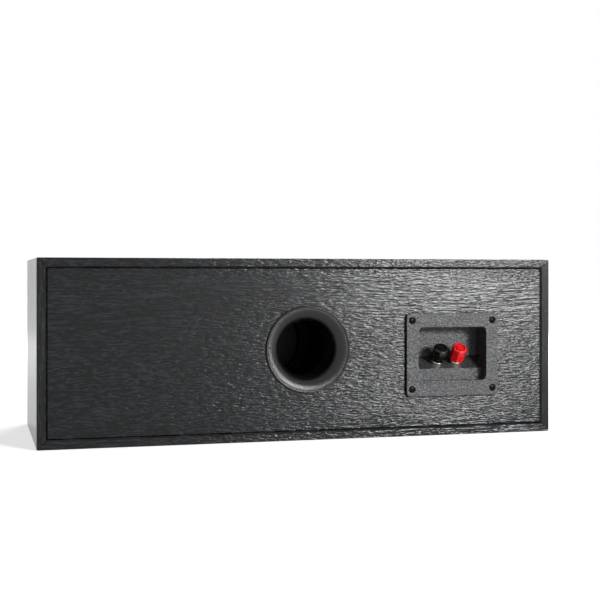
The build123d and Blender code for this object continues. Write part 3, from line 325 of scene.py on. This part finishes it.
def noise(tree, vector, detail=3.0, roughness=0.55, output="Fac"):
    """Noise whose features are about one unit of the vector in size."""
    values = {"Scale": 1.0, "Detail": detail, "Roughness": roughness, "Distortion": 0.0}
    node = add_node(tree, "ShaderNodeTexNoise", values)
    tree.links.new(vector, node.inputs["Vector"])
    return node.outputs[output]


def ramp(tree, factor, *stops):
    """A colour ramp between two (place, colour) stops, where a colour may be one grey level."""
    node = add_node(tree, "ShaderNodeValToRGB")
    for element, (place, colour) in zip(node.color_ramp.elements, stops):
        element.position = place
        grey = isinstance(colour, (int, float))
        element.color = (colour, colour, colour, 1.0) if grey else (*colour, 1.0)
    tree.links.new(factor, node.inputs["Fac"])
    return node.outputs["Color"]


def blend_colours(tree, factor, *colours):
    """Two colours, or the sockets of two, mixed by the socket of a factor."""
    node = add_node(tree, "ShaderNodeMix", data_type="RGBA")
    values = [
        colour if isinstance(colour, bpy.types.NodeSocket) else (*colour, 1.0)
        for colour in colours
    ]
    fill(tree, [node.inputs[index] for index in MIX_INPUTS], (factor, *values))
    return node.outputs[MIX_RESULT]


def tinted(colour, share):
    """A colour made paler or darker by a share."""
    return tuple(min(1.0, share * part) for part in colour)


def emboss(tree, shader, height, depth):
    """Bump from a height, where a height of 1 stands depth metres above a height of 0."""
    node = add_node(tree, "ShaderNodeBump", {"Strength": 1.0, "Distance": depth})
    tree.links.new(height, node.inputs["Height"])
    tree.links.new(node.outputs["Normal"], shader.inputs["Normal"])


def assign(material, *nodes):
    """Gives carried-over nodes a material."""
    for name in nodes:
        slots = NODES[name].data.materials
        slots.clear()
        slots.append(material)


# Finishes


def woodgrain_vinyl(name, grain_axis, depth):
    """Embossed black woodgrain vinyl whose streaks and pores run along one axis."""
    look = bpy.context.scene.speaker_cabinet
    made, tree, shader = new_material(name)

    def along_grain(length, width):
        scale = [1.0 / width] * 3
        scale[grain_axis] = 1.0 / length
        return scale

    sway = [look.figure_sway] * 3
    sway[grain_axis] = 0.0
    wander_place = stretched(tree, along_grain(look.sway_length, look.sway_width))
    wander = noise(tree, wander_place, detail=1.0, output="Color")
    centred = vector_arithmetic(tree, "SUBTRACT", wander, (0.5, 0.5, 0.5))
    shift = vector_arithmetic(tree, "MULTIPLY", centred, sway)

    def grain(length, width, detail, roughness):
        moved = vector_arithmetic(tree, "ADD", object_place(tree), shift)
        place = scaled(tree, moved, along_grain(length, width))
        return noise(tree, place, detail=detail, roughness=roughness)

    figure = grain(look.figure_length, look.figure_width, detail=1.0, roughness=0.5)
    wild = ramp(tree, figure, (0.40, 0.0), (0.58, 1.0))
    straight = grain(look.streak_length, look.streak_width, detail=2.0, roughness=0.6)
    flecks = grain(look.fleck_length, look.fleck_width, detail=2.0, roughness=0.6)
    pores = grain(look.pore_length, look.pore_width, detail=1.0, roughness=0.5)
    pattern = blend_colours(tree, wild, straight, flecks)
    base = ramp(tree, pattern, (0.47, look.vinyl_colour), (0.61, look.streak_colour))
    tree.links.new(base, shader.inputs["Base Color"])
    hollows = look.vinyl_roughness + look.hollow_roughness
    spread = ramp(tree, pattern, (0.34, hollows), (0.62, look.vinyl_roughness))
    tree.links.new(spread, shader.inputs["Roughness"])
    shader.inputs["Specular IOR Level"].default_value = look.vinyl_gloss
    emboss(tree, shader, arithmetic(tree, "MULTIPLY_ADD", pores, look.pore_share, pattern), depth)
    return made


def moulded_plastic(name, colour, roughness, grain, depth, specular=0.5):
    """Plastic with a fine moulded texture."""
    made, tree, shader = new_material(name)
    fine = noise(tree, stretched(tree, [1.0 / grain] * 3), detail=2.0, roughness=0.6)
    broad = noise(tree, stretched(tree, [0.04 / grain] * 3))
    speckle = ramp(tree, fine, (0.36, tinted(colour, 0.62)), (0.66, tinted(colour, 1.5)))
    tree.links.new(speckle, shader.inputs["Base Color"])
    spread = ramp(tree, broad, (0.3, roughness - 0.05), (0.7, roughness + 0.05))
    tree.links.new(spread, shader.inputs["Roughness"])
    shader.inputs["Specular IOR Level"].default_value = specular
    emboss(tree, shader, fine, depth)
    return made


def metal(name, colour, roughness, brushing):
    """Metal with faint machining marks."""
    made, tree, shader = new_material(name)
    marks = noise(tree, stretched(tree, brushing), roughness=0.7)
    base = ramp(tree, marks, (0.3, tinted(colour, 0.86)), (0.7, colour))
    tree.links.new(base, shader.inputs["Base Color"])
    spread = ramp(tree, marks, (0.25, roughness * 0.75), (0.75, roughness * 1.35))
    tree.links.new(spread, shader.inputs["Roughness"])
    shader.inputs["Metallic"].default_value = 1.0
    emboss(tree, shader, marks, 0.00001)
    return made


def cloth_weave(name, colour, pitch, lift, sheen):
    """Cloth with crossing yarns at a pitch, for the grille, the dome, the spiders and wadding."""
    made, tree, shader = new_material(name)
    axes = add_node(tree, "ShaderNodeSeparateXYZ")
    tree.links.new(stretched(tree, [1.0 / pitch] * 3), axes.inputs[0])
    waves = [
        arithmetic(tree, "SINE", arithmetic(tree, "MULTIPLY", axes.outputs[axis], 2 * math.pi))
        for axis in (0, 2)
    ]
    yarns = arithmetic(tree, "MULTIPLY_ADD", arithmetic(tree, "MULTIPLY", *waves), 0.5, 0.5)
    along, across = 0.05 / pitch, 0.8 / pitch
    level = noise(tree, stretched(tree, (along, 1.0 / pitch, across)), detail=2.0)
    upright = noise(tree, stretched(tree, (across, 1.0 / pitch, along)), detail=2.0)
    slubs = ramp(tree, arithmetic(tree, "MAXIMUM", level, upright), (0.50, 0.0), (0.74, 1.0))
    weave = blend_colours(tree, yarns, tinted(colour, 0.45), colour)
    base = blend_colours(tree, slubs, weave, tinted(colour, 1.7))
    tree.links.new(base, shader.inputs["Base Color"])
    shader.inputs["Roughness"].default_value = 0.9
    shader.inputs["Specular IOR Level"].default_value = 0.15
    shader.inputs["Sheen Weight"].default_value = sheen
    shader.inputs["Sheen Roughness"].default_value = 0.5
    emboss(tree, shader, arithmetic(tree, "ADD", yarns, slubs), lift)
    return made


def black_oxide(name):
    """The finish of the screws."""
    colour = bpy.context.scene.speaker_fittings.screw_colour
    return moulded_plastic(
        name, colour, roughness=0.22, grain=0.0006, depth=0.00002, specular=0.10
    )


def ferrite(name):
    """The finish of the magnets."""
    colour = bpy.context.scene.speaker_drivers.ferrite_colour
    return moulded_plastic(name, colour, roughness=0.7, grain=0.003, depth=0.0001, specular=0.4)


def zinc_plate(name):
    """The finish of the motors' plates."""
    colour = bpy.context.scene.speaker_drivers.steel_colour
    return metal(name, colour, roughness=0.4, brushing=(120.0, 120.0, 120.0))


def copper_winding(name, around, along):
    """Wire wound about a Y axis, with a number of marks to the metre around and along it."""
    colour = bpy.context.scene.speaker_drivers.copper_colour
    return metal(name, colour, roughness=0.35, brushing=(around, along, around))


def seen_rays(tree):
    """1 where the camera looks, also by way of a mirror or glass."""
    rays = add_node(tree, "ShaderNodeLightPath")
    seen = arithmetic(tree, "MAXIMUM", rays.outputs["Is Camera Ray"], rays.outputs["Is Glossy Ray"])
    return arithmetic(tree, "MAXIMUM", seen, rays.outputs["Is Transmission Ray"])


def floor_material():
    """A pale floor that shows white to the camera away from shadows."""
    look = bpy.context.scene.speaker_studio
    made, tree, shader = new_material("studio_floor")
    mottle = noise(tree, stretched(tree, (3.0, 3.0, 3.0)), detail=2.0)
    darker = tinted(look.floor_colour, 0.985)
    base = ramp(tree, mottle, (0.3, darker), (0.7, look.floor_colour))
    tree.links.new(base, shader.inputs["Base Color"])
    shader.inputs["Roughness"].default_value = 0.85
    shader.inputs["Specular IOR Level"].default_value = 0.1
    away = add_node(tree, "ShaderNodeVectorMath", operation="LENGTH")
    tree.links.new(object_place(tree), away.inputs[0])
    glow = add_node(tree, "ShaderNodeMapRange", {
        "From Min": look.floor_near, "From Max": look.floor_far,
        "To Min": look.floor_glow_near, "To Max": look.floor_glow,
    }, interpolation_type="SMOOTHSTEP")
    tree.links.new(away.outputs["Value"], glow.inputs["Value"])
    shown = arithmetic(tree, "MULTIPLY", glow.outputs[0], seen_rays(tree))
    tree.links.new(shown, shader.inputs["Emission Strength"])
    shader.inputs["Emission Color"].default_value = WHITE
    return made


# Mesh helpers


def object_from(mesh_builder, name, material, body):
    """Turns a bmesh into a smooth piece that rides on a body."""
    mesh = bpy.data.meshes.new(name)
    bmesh.ops.recalc_face_normals(mesh_builder, faces=mesh_builder.faces)
    mesh_builder.to_mesh(mesh)
    mesh_builder.free()
    made = bpy.data.objects.new(name, mesh)
    bpy.context.scene.collection.objects.link(made)
    made.data.materials.append(material)
    made.data.polygons.foreach_set("use_smooth", [True] * len(made.data.polygons))
    made.data.set_sharp_from_angle(angle=SHARP_EDGE)
    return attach(made, body)


def turned(builder, outline, matrix):
    """Adds a surface turned about the matrix's Z axis from (radius, height) points."""
    rings = []
    for radius, height in outline:
        if radius == 0.0:
            rings.append([builder.verts.new(matrix @ Vector((0.0, 0.0, height)))])
            continue
        ring = []
        for step in range(SCREW_STEPS):
            angle = 2 * math.pi * step / SCREW_STEPS
            place = Vector((radius * math.cos(angle), radius * math.sin(angle), height))
            ring.append(builder.verts.new(matrix @ place))
        rings.append(ring)
    for first, second in zip(rings, rings[1:]):
        for step in range(SCREW_STEPS):
            after = (step + 1) % SCREW_STEPS
            corners = [first[step % len(first)], first[after % len(first)]]
            corners += [second[after % len(second)], second[step % len(second)]]
            unique = list(dict.fromkeys(corners))
            if len(unique) > 2:
                builder.faces.new(unique)


def facing(place, direction):
    """A matrix at a place whose Z axis points in a direction."""
    turn = Vector(direction).to_track_quat("Z", "Y").to_matrix().to_4x4()
    return Matrix.Translation(place) @ turn


def cross_cutter(matrix, radius):
    """A tapered cross-shaped tool for the drive of a screw with a head of some radius."""
    reach, width, depth = (radius * share for share in (DRIVE_REACH, DRIVE_WIDTH, DRIVE_DEPTH))
    sides = ((3, 2, 1, 0), (4, 5, 6, 7), (0, 1, 5, 4), (1, 2, 6, 5), (2, 3, 7, 6), (3, 0, 4, 7))
    cutter = bmesh.new()
    for turn in (0.0, QUARTER_TURN):
        spin = matrix @ Matrix.Rotation(turn, 4, "Z")
        corners = []
        for z, share in ((depth, 1.0), (-depth, DRIVE_TAPER)):
            for x, y in ((-1, -1), (1, -1), (1, 1), (-1, 1)):
                place = spin @ Vector((x * reach * share, y * width / 2, z))
                corners.append(cutter.verts.new(place))
        for side in sides:
            cutter.faces.new([corners[index] for index in side])
    bmesh.ops.recalc_face_normals(cutter, faces=cutter.faces)
    mesh = bpy.data.meshes.new("drive_tool")
    cutter.to_mesh(mesh)
    cutter.free()
    tool = bpy.data.objects.new("drive_tool", mesh)
    bpy.context.scene.collection.objects.link(tool)
    return tool


def cut_and_keep(piece, tool):
    """Cuts a tool out of a piece for good, and removes the tool."""
    cut = piece.modifiers.new("drive", "BOOLEAN")
    cut.operation = "DIFFERENCE"
    cut.solver = "EXACT"
    cut.use_self = True
    cut.object = tool
    bpy.context.view_layer.update()
    evaluated = piece.evaluated_get(bpy.context.evaluated_depsgraph_get())
    result = bpy.data.meshes.new_from_object(evaluated)
    piece.modifiers.clear()
    old = piece.data
    piece.data = result
    bpy.data.meshes.remove(old)
    bpy.data.objects.remove(tool)
    piece.data.set_sharp_from_angle(angle=SHARP_EDGE)


def islands(node):
    """The lowest and highest corners of each separate solid of a node."""
    builder = bmesh.new()
    builder.from_mesh(NODES[node].data)
    bmesh.ops.remove_doubles(builder, verts=builder.verts, dist=SAME_PLACE)
    boxes = []
    seen = set()
    for start in builder.verts:
        if start in seen:
            continue
        seen.add(start)
        waiting = [start]
        points = []
        while waiting:
            vert = waiting.pop()
            points.append(vert.co.copy())
            for edge in vert.link_edges:
                other = edge.other_vert(vert)
                if other not in seen:
                    seen.add(other)
                    waiting.append(other)
        low = Vector(map(min, zip(*points)))
        high = Vector(map(max, zip(*points)))
        boxes.append((low, high))
    builder.free()
    return boxes


def drive_screws(node, name, material, direction):
    """Pan-head cross-drive screws in place of a node's plain ones, facing a direction along Y."""
    heads = bmesh.new()
    tools = []
    for low, high in islands(node):
        middle = (low + high) / 2
        radius = (high.x - low.x) / 2
        front = high.y if direction > 0 else low.y
        length = high.y - low.y
        matrix = facing((middle.x, front, middle.z), (0.0, direction, 0.0))
        outline = [(across * radius, -down * radius) for across, down in HEAD_PROFILE]
        shank = SHANK_RADIUS * radius
        outline += [(shank, outline[-1][1]), (shank, -length * SHANK_LENGTH_SHARE), (0.0, -length)]
        turned(heads, outline, matrix)
        turn = Matrix.Rotation(middle.x * SCREW_TURN.x + middle.z * SCREW_TURN.z, 4, "Z")
        tools.append(cross_cutter(matrix @ turn, radius))
    piece = object_from(heads, name, material, "cabinet")
    for tool in tools:
        cut_and_keep(piece, tool)
    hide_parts(node)
    return piece


class SPEAKER_OT_cabinet(bpy.types.Operator):
    """Finish the mitred wrap, the back panel and the baffle"""

    bl_idname = "speaker.cabinet"
    bl_label = "Cabinet"

    def execute(self, context):
        look = context.scene.speaker_cabinet
        level = woodgrain_vinyl("woodgrain_level", 0, look.emboss_depth)
        assign(level, "top_panel", "bottom_panel", "back_panel")
        upright = woodgrain_vinyl("woodgrain_upright", 2, look.side_emboss_depth)
        assign(upright, "left_side_panel", "right_side_panel")
        baffle = moulded_plastic(
            "baffle_vinyl", look.baffle_colour, roughness=0.6, grain=0.0012, depth=0.00005
        )
        assign(baffle, "front_baffle")
        return {"FINISHED"}


class SPEAKER_OT_port(bpy.types.Operator):
    """Finish the port's flare and tube"""

    bl_idname = "speaker.port"
    bl_label = "Port"

    def execute(self, context):
        colour = context.scene.speaker_fittings.port_colour
        flare = moulded_plastic(
            "port_plastic", colour, roughness=0.28, grain=0.0010, depth=0.00020, specular=0.38
        )
        assign(flare, "port_flare")
        tube = moulded_plastic(
            "tube_plastic", colour, roughness=0.95, grain=0.002, depth=0.00006, specular=0.05
        )
        assign(tube, "port_tube")
        return {"FINISHED"}


class SPEAKER_OT_terminal_cup(bpy.types.Operator):
    """Finish the terminal cup and its gasket, and make its screws"""

    bl_idname = "speaker.terminal_cup"
    bl_label = "Terminal Cup"

    def execute(self, context):
        look = context.scene.speaker_fittings
        grained = moulded_plastic(
            "cup_plastic", look.cup_colour,
            roughness=0.27, grain=look.cup_grain, depth=0.00085, specular=0.34,
        )
        assign(grained, "terminal_cup")
        foam = moulded_plastic(
            "gasket_foam", look.foam_colour,
            roughness=0.95, grain=0.0016, depth=0.0003, specular=0.1,
        )
        assign(foam, "terminal_gasket")
        screws = drive_screws("terminal_screws", "cup_screws", black_oxide("black_oxide"), 1)
        return {"FINISHED"}


class SPEAKER_OT_binding_posts(bpy.types.Operator):
    """Finish the binding posts, their caps and the hardware behind them"""

    bl_idname = "speaker.binding_posts"
    bl_label = "Binding Posts"

    def execute(self, context):
        look = context.scene.speaker_fittings
        plating = metal(
            "post_plating", look.plating_colour, roughness=0.22, brushing=(900.0, 900.0, 4000.0)
        )
        assign(plating, "binding_post_studs", "post_nuts", "solder_lugs")
        assign(plating, "black_clamp_washer", "red_clamp_washer")
        for colour, tint in (("black", look.black_cap_colour), ("red", look.red_cap_colour)):
            cap = moulded_plastic(
                f"{colour}_cap_plastic", tint,
                roughness=0.17, grain=0.0015, depth=0.00001, specular=0.4,
            )
            assign(cap, f"{colour}_post_cap")
        return {"FINISHED"}


class SPEAKER_OT_woofers(bpy.types.Operator):
    """Finish both woofers and make their screws"""

    bl_idname = "speaker.woofers"
    bl_label = "Woofers"

    def execute(self, context):
        look = context.scene.speaker_drivers
        polymer = moulded_plastic(
            "cone_polymer", look.cone_colour, roughness=0.42, grain=0.003, depth=0.0001
        )
        rubber = moulded_plastic(
            "surround_rubber", look.rubber_colour,
            roughness=0.62, grain=0.0012, depth=0.00004, specular=0.35,
        )
        paint = moulded_plastic(
            "basket_paint", look.paint_colour, roughness=0.5, grain=0.001, depth=0.00004
        )
        resin = cloth_weave(
            "spider_cloth", look.spider_colour, pitch=0.0012, lift=0.0001, sheen=0.1
        )
        copper = copper_winding("copper_wire", around=300.0, along=5000.0)
        plated = zinc_plate("zinc_plate")
        ceramic = ferrite("ferrite")
        for side in SIDES:
            assign(polymer, f"{side}_woofer_cone", f"{side}_woofer_dust_cap")
            assign(rubber, f"{side}_woofer_surround")
            assign(paint, f"{side}_woofer_basket")
            assign(resin, f"{side}_woofer_spider")
            assign(copper, f"{side}_woofer_voice_coil")
            assign(plated, f"{side}_woofer_top_plate", f"{side}_woofer_yoke")
            assign(ceramic, f"{side}_woofer_magnet")
        oxide = black_oxide("driver_screw_oxide")
        drive_screws("woofer_screws", "woofer_cross_screws", oxide, -1)
        return {"FINISHED"}


class SPEAKER_OT_tweeter(bpy.types.Operator):
    """Finish the tweeter and make its screws"""

    bl_idname = "speaker.tweeter"
    bl_label = "Tweeter"

    def execute(self, context):
        look = context.scene.speaker_drivers
        horn = moulded_plastic(
            "horn_plastic", look.paint_colour, roughness=0.45, grain=0.001, depth=0.00004
        )
        assign(horn, "tweeter_faceplate")
        dome = cloth_weave("dome_cloth", look.dome_colour, pitch=0.0006, lift=0.00005, sheen=0.3)
        assign(dome, "tweeter_dome")
        copper = copper_winding("tweeter_copper", around=300.0, along=5000.0)
        assign(copper, "tweeter_voice_coil")
        assign(zinc_plate("tweeter_zinc_plate"), "tweeter_top_plate", "tweeter_yoke")
        assign(ferrite("tweeter_ferrite"), "tweeter_magnet")
        oxide = black_oxide("tweeter_screw_oxide")
        drive_screws("tweeter_screws", "tweeter_cross_screws", oxide, -1)
        return {"FINISHED"}


class SPEAKER_OT_grille(bpy.types.Operator):
    """Finish the grille's frame, pegs and sockets, and stretch its cloth"""

    bl_idname = "speaker.grille"
    bl_label = "Grille"

    def execute(self, context):
        look = context.scene.speaker_grille
        plastic = context.scene.speaker_fittings.port_colour
        board = moulded_plastic(
            "grille_board", look.board_colour,
            roughness=0.7, grain=0.002, depth=0.0001, specular=0.3,
        )
        assign(board, "grille_frame")
        pegs = moulded_plastic("peg_plastic", plastic, roughness=0.35, grain=0.001, depth=0.00002)
        assign(pegs, "grille_pegs")
        sockets = moulded_plastic(
            "socket_rubber", plastic, roughness=0.75, grain=0.001, depth=0.00004, specular=0.3
        )
        assign(sockets, "grille_sockets")
        knit = cloth_weave(
            "grille_knit", look.cloth_colour, pitch=look.stitch, lift=0.0004, sheen=0.08
        )
        low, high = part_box("grille_cloth")
        cloth = self.stretched_cloth(look, low, high, knit)
        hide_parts("grille_cloth")
        return {"FINISHED"}

    def stretched_cloth(self, look, low, high, knit):
        """One sheet over the frame's front and in behind it, in rings from hem to middle."""
        middle = (low + high) / 2
        half = (high - low) / 2
        sheet = bmesh.new()
        before = None
        for inset, y in self.ring_levels(look, low, high):
            ring = []
            corner = max(0.0, look.cloth_corner - inset)
            for x, z in self.outline(half.x - inset, half.z - inset, corner):
                place = Vector((middle.x + x, y, middle.z + z))
                if y == low.y:
                    drawn = max(self.drawn_in(place, window) for window in WINDOWS)
                    place.y += look.cloth_dish * drawn
                ring.append(sheet.verts.new(place))
            for index in range(len(ring) if before else 0):
                after = (index + 1) % len(ring)
                sheet.faces.new((before[index], before[after], ring[after], ring[index]))
            before = ring
        bmesh.ops.remove_doubles(sheet, verts=sheet.verts, dist=SAME_PLACE)
        return object_from(sheet, "grille_cloth_sheet", knit, "grille")

    def ring_levels(self, look, low, high):
        """How far in from the outline, and at which Y, each ring of the cloth lies."""
        behind = high.y + look.cloth_lift
        levels = [(inset, behind) for inset in (look.cloth_hem, look.cloth_hem / 2, look.cloth_fold)]
        levels.append((0.0, high.y))
        for step in range(look.cloth_steps + 1):
            angle = QUARTER_TURN * step / look.cloth_steps
            inset = look.cloth_round * (1 - math.cos(angle))
            levels.append((inset, low.y + look.cloth_round * (1 - math.sin(angle))))
        inward = (high.z - low.z) / 2 - look.cloth_round
        for step in range(1, look.cloth_rings + 1):
            levels.append((look.cloth_round + inward * step / look.cloth_rings, low.y))
        return levels

    def outline(self, half_width, half_height, corner):
        """Points around a rounded rectangle, the same number for any size."""
        along, up, turn = 96, 32, 6

        def on_corner(x, z, quarters):
            centre = Vector((x - math.copysign(corner, x), z - math.copysign(corner, z)))
            angle = QUARTER_TURN * quarters
            return centre + corner * Vector((math.cos(angle), math.sin(angle)))

        points = []
        corners = ((half_width, half_height), (-half_width, half_height))
        corners += ((-half_width, -half_height), (half_width, -half_height))
        for quarter, (x, z) in enumerate(corners):
            arc = [on_corner(x, z, quarter + step / turn) for step in range(turn + 1)]
            straight_end = on_corner(*corners[(quarter + 1) % 4], quarter + 1)
            span = along if quarter % 2 == 0 else up
            points += arc + [arc[-1].lerp(straight_end, step / span) for step in range(1, span)]
        return points

    def drawn_in(self, place, window):
        """1 in the middle of a window, falling to 0 at its edges."""
        share = 1.0
        for axis in (0, 2):
            first, last = window[0][axis], window[1][axis]
            reach = 2 * (place[axis] - first) / (last - first) - 1
            share *= max(0.0, 1.0 - reach * reach)
        return math.sqrt(share)


class SPEAKER_OT_crossover(bpy.types.Operator):
    """Finish the crossover, the wiring and the damping pads"""

    bl_idname = "speaker.crossover"
    bl_label = "Crossover and Wiring"

    def execute(self, context):
        look = context.scene.speaker_crossover
        winding = copper_winding("inductor_copper", around=200.0, along=2500.0)
        assign(winding, "woofer_inductor", "tweeter_inductor")
        laminate = moulded_plastic(
            "board_laminate", look.board_colour, roughness=0.5, grain=0.0012, depth=0.00003
        )
        assign(laminate, "crossover_board")
        nylon = moulded_plastic(
            "standoff_nylon", look.nylon_colour, roughness=0.5, grain=0.002, depth=0.00002
        )
        assign(nylon, "crossover_standoffs")
        sleeve = moulded_plastic(
            "capacitor_sleeve", look.sleeve_colour, roughness=0.25, grain=0.004, depth=0.00003
        )
        assign(sleeve, "tweeter_capacitor")
        cement = moulded_plastic(
            "resistor_cement", look.cement_colour,
            roughness=0.85, grain=0.0008, depth=0.0001, specular=0.3,
        )
        assign(cement, "tweeter_resistor")
        insulation = moulded_plastic(
            "wire_insulation", look.wire_colour, roughness=0.5, grain=0.002, depth=0.00002
        )
        assign(insulation, "terminal_wires", "woofer_wires", "tweeter_wires")
        wadding = cloth_weave("wadding", look.wadding_colour, pitch=0.004, lift=0.001, sheen=0.4)
        names = ("first_wadding_pad", "second_wadding_pad")
        for name, (low, high) in zip(names, islands("damping_pads")):
            pad = self.crowned_pad(look, name, low, high, wadding)
            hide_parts("damping_pads")
        return {"FINISHED"}

    def crowned_pad(self, look, name, low, high, wadding):
        """A pad of wadding, flat against the side panel it hangs on and crowned inwards."""
        middle = (low + high) / 2
        half = (high - low) / 2
        wall = high.x if middle.x > 0 else low.x
        inward = -1.0 if middle.x > 0 else 1.0
        steps = look.pad_steps
        pad = bmesh.new()
        layers = []
        for share in (0.0, 1.0):
            layer = []
            for row in range(steps + 1):
                for column in range(steps + 1):
                    u = 2 * row / steps - 1
                    v = 2 * column / steps - 1
                    y = middle.y + half.y * u * (1 - look.pad_waist * (1 - v * v))
                    z = middle.z + half.z * v * (1 - look.pad_waist * (1 - u * u))
                    crown = ((1 - u ** 6) * (1 - v ** 6)) ** 0.4
                    tuft = math.sin(9.0 * u + 2.0 * v) * math.sin(7.0 * v - 3.0 * u)
                    height = max(0.0, crown * (look.pad_rise + look.pad_tuft * tuft))
                    place = (wall + inward * share * 2 * half.x * height, y, z)
                    layer.append(pad.verts.new(place))
            layers.append(layer)
        for layer in layers:
            for row in range(steps):
                for column in range(steps):
                    first = row * (steps + 1) + column
                    around = (0, 1, steps + 2, steps + 1)
                    pad.faces.new([layer[first + step] for step in around])
        bmesh.ops.remove_doubles(pad, verts=pad.verts, dist=SAME_PLACE)
        return object_from(pad, name, wadding, "cabinet")


class SPEAKER_OT_studio(bpy.types.Operator):
    """Make the floor, the lamps, the surroundings and the camera"""

    bl_idname = "speaker.studio"
    bl_label = "Studio"

    def execute(self, context):
        look = context.scene.speaker_studio
        context.scene.view_settings.view_transform = "Standard"
        self.floor(context.scene, look)
        self.lamp(
            "key", Vector((-0.52, 1.0, 0.28)),
            distance=2.3, width=0.55, height=0.40, power=look.key_power,
        )
        self.lamp(
            "front", Vector((-0.40, -1.0, 0.45)),
            distance=2.0, width=1.0, height=1.0, power=look.front_power,
        )
        self.room(context.scene, look)
        self.camera(context.scene, look)
        return {"FINISHED"}

    def floor(self, scene, look):
        sheet = bmesh.new()
        bmesh.ops.create_circle(sheet, cap_ends=True, segments=96, radius=look.floor_radius)
        mesh = bpy.data.meshes.new("studio_floor")
        sheet.to_mesh(mesh)
        sheet.free()
        floor = bpy.data.objects.new("studio_floor", mesh)
        floor.location.z = CAD_BOX[0].z - look.floor_gap
        floor.data.materials.append(floor_material())
        scene.collection.objects.link(floor)

    def lamp(self, name, direction, distance, width, height, power):
        """A lamp in a direction from the middle of the rear, turned towards it."""
        data = bpy.data.lights.new(name, "AREA")
        data.shape = "RECTANGLE"
        data.size = width
        data.size_y = height
        data.energy = power
        lamp = bpy.data.objects.new(name, data)
        target = Vector((0.0, REAR_Y, CABINET_MIDDLE))
        lamp.location = target + direction.normalized() * distance
        lamp.rotation_euler = direction.to_track_quat("Z", "Y").to_euler()
        bpy.context.scene.collection.objects.link(lamp)

    def room(self, scene, look):
        """Even light around, with a white backdrop where the camera looks."""
        world = bpy.data.worlds.new("studio_room")
        world.use_nodes = True
        scene.world = world
        tree = world.node_tree
        around = tree.nodes["Background"]
        around.inputs["Color"].default_value = (*look.room_colour, 1.0)
        around.inputs["Strength"].default_value = look.room_light
        backdrop = add_node(tree, "ShaderNodeBackground", {"Color": WHITE, "Strength": 1.0})
        mix = add_node(tree, "ShaderNodeMixShader")
        fill(tree, mix.inputs, (seen_rays(tree), around.outputs[0], backdrop.outputs[0]))
        tree.links.new(mix.outputs[0], tree.nodes["World Output"].inputs["Surface"])

    def camera(self, scene, look):
        data = bpy.data.cameras.new("photo_camera")
        data.lens = look.lens
        data.sensor_width = 36.0
        data.shift_y = look.camera_rise
        data.clip_start = 0.02
        camera = bpy.data.objects.new("photo_camera", data)
        camera.location = look.camera_place
        camera.rotation_euler = (QUARTER_TURN, 0.0, math.pi - look.camera_turn)
        scene.collection.objects.link(camera)
        scene.camera = camera


OPERATORS = (
    SPEAKER_OT_cabinet,
    SPEAKER_OT_port,
    SPEAKER_OT_terminal_cup,
    SPEAKER_OT_binding_posts,
    SPEAKER_OT_woofers,
    SPEAKER_OT_tweeter,
    SPEAKER_OT_grille,
    SPEAKER_OT_crossover,
    SPEAKER_OT_studio,
)


class SPEAKER_PT_sidebar(bpy.types.Panel):
    """Lists the steps that dress the speaker"""

    bl_idname = "SPEAKER_PT_sidebar"
    bl_label = "Center Channel Speaker"
    bl_space_type = "VIEW_3D"
    bl_region_type = "UI"
    bl_category = "Speaker"

    def draw(self, context):
        for operator in OPERATORS:
            self.layout.operator(operator.bl_idname)
        for group in GROUPS:
            settings = getattr(context.scene, group)
            box = self.layout.box()
            for name in settings.bl_rna.properties.keys():
                if name not in ("rna_type", "name"):
                    box.prop(settings, name)


GROUPS = {
    "speaker_cabinet": CabinetFinish,
    "speaker_fittings": FittingFinish,
    "speaker_drivers": DriverFinish,
    "speaker_grille": GrilleFinish,
    "speaker_crossover": CrossoverFinish,
    "speaker_studio": StudioSetup,
}
CLASSES = (*GROUPS.values(), *OPERATORS, SPEAKER_PT_sidebar)


def register():
    for made in CLASSES:
        bpy.utils.register_class(made)
    for name, group in GROUPS.items():
        setattr(bpy.types.Scene, name, PointerProperty(type=group))


def unregister():
    for name in GROUPS:
        delattr(bpy.types.Scene, name)
    for made in reversed(CLASSES):
        bpy.utils.unregister_class(made)


def main():
    register()
    bpy.ops.speaker.cabinet()
    bpy.ops.speaker.port()
    bpy.ops.speaker.terminal_cup()
    bpy.ops.speaker.binding_posts()
    bpy.ops.speaker.woofers()
    bpy.ops.speaker.tweeter()
    bpy.ops.speaker.grille()
    bpy.ops.speaker.crossover()
    bpy.ops.speaker.studio()


if __name__ == "__main__":
    main()
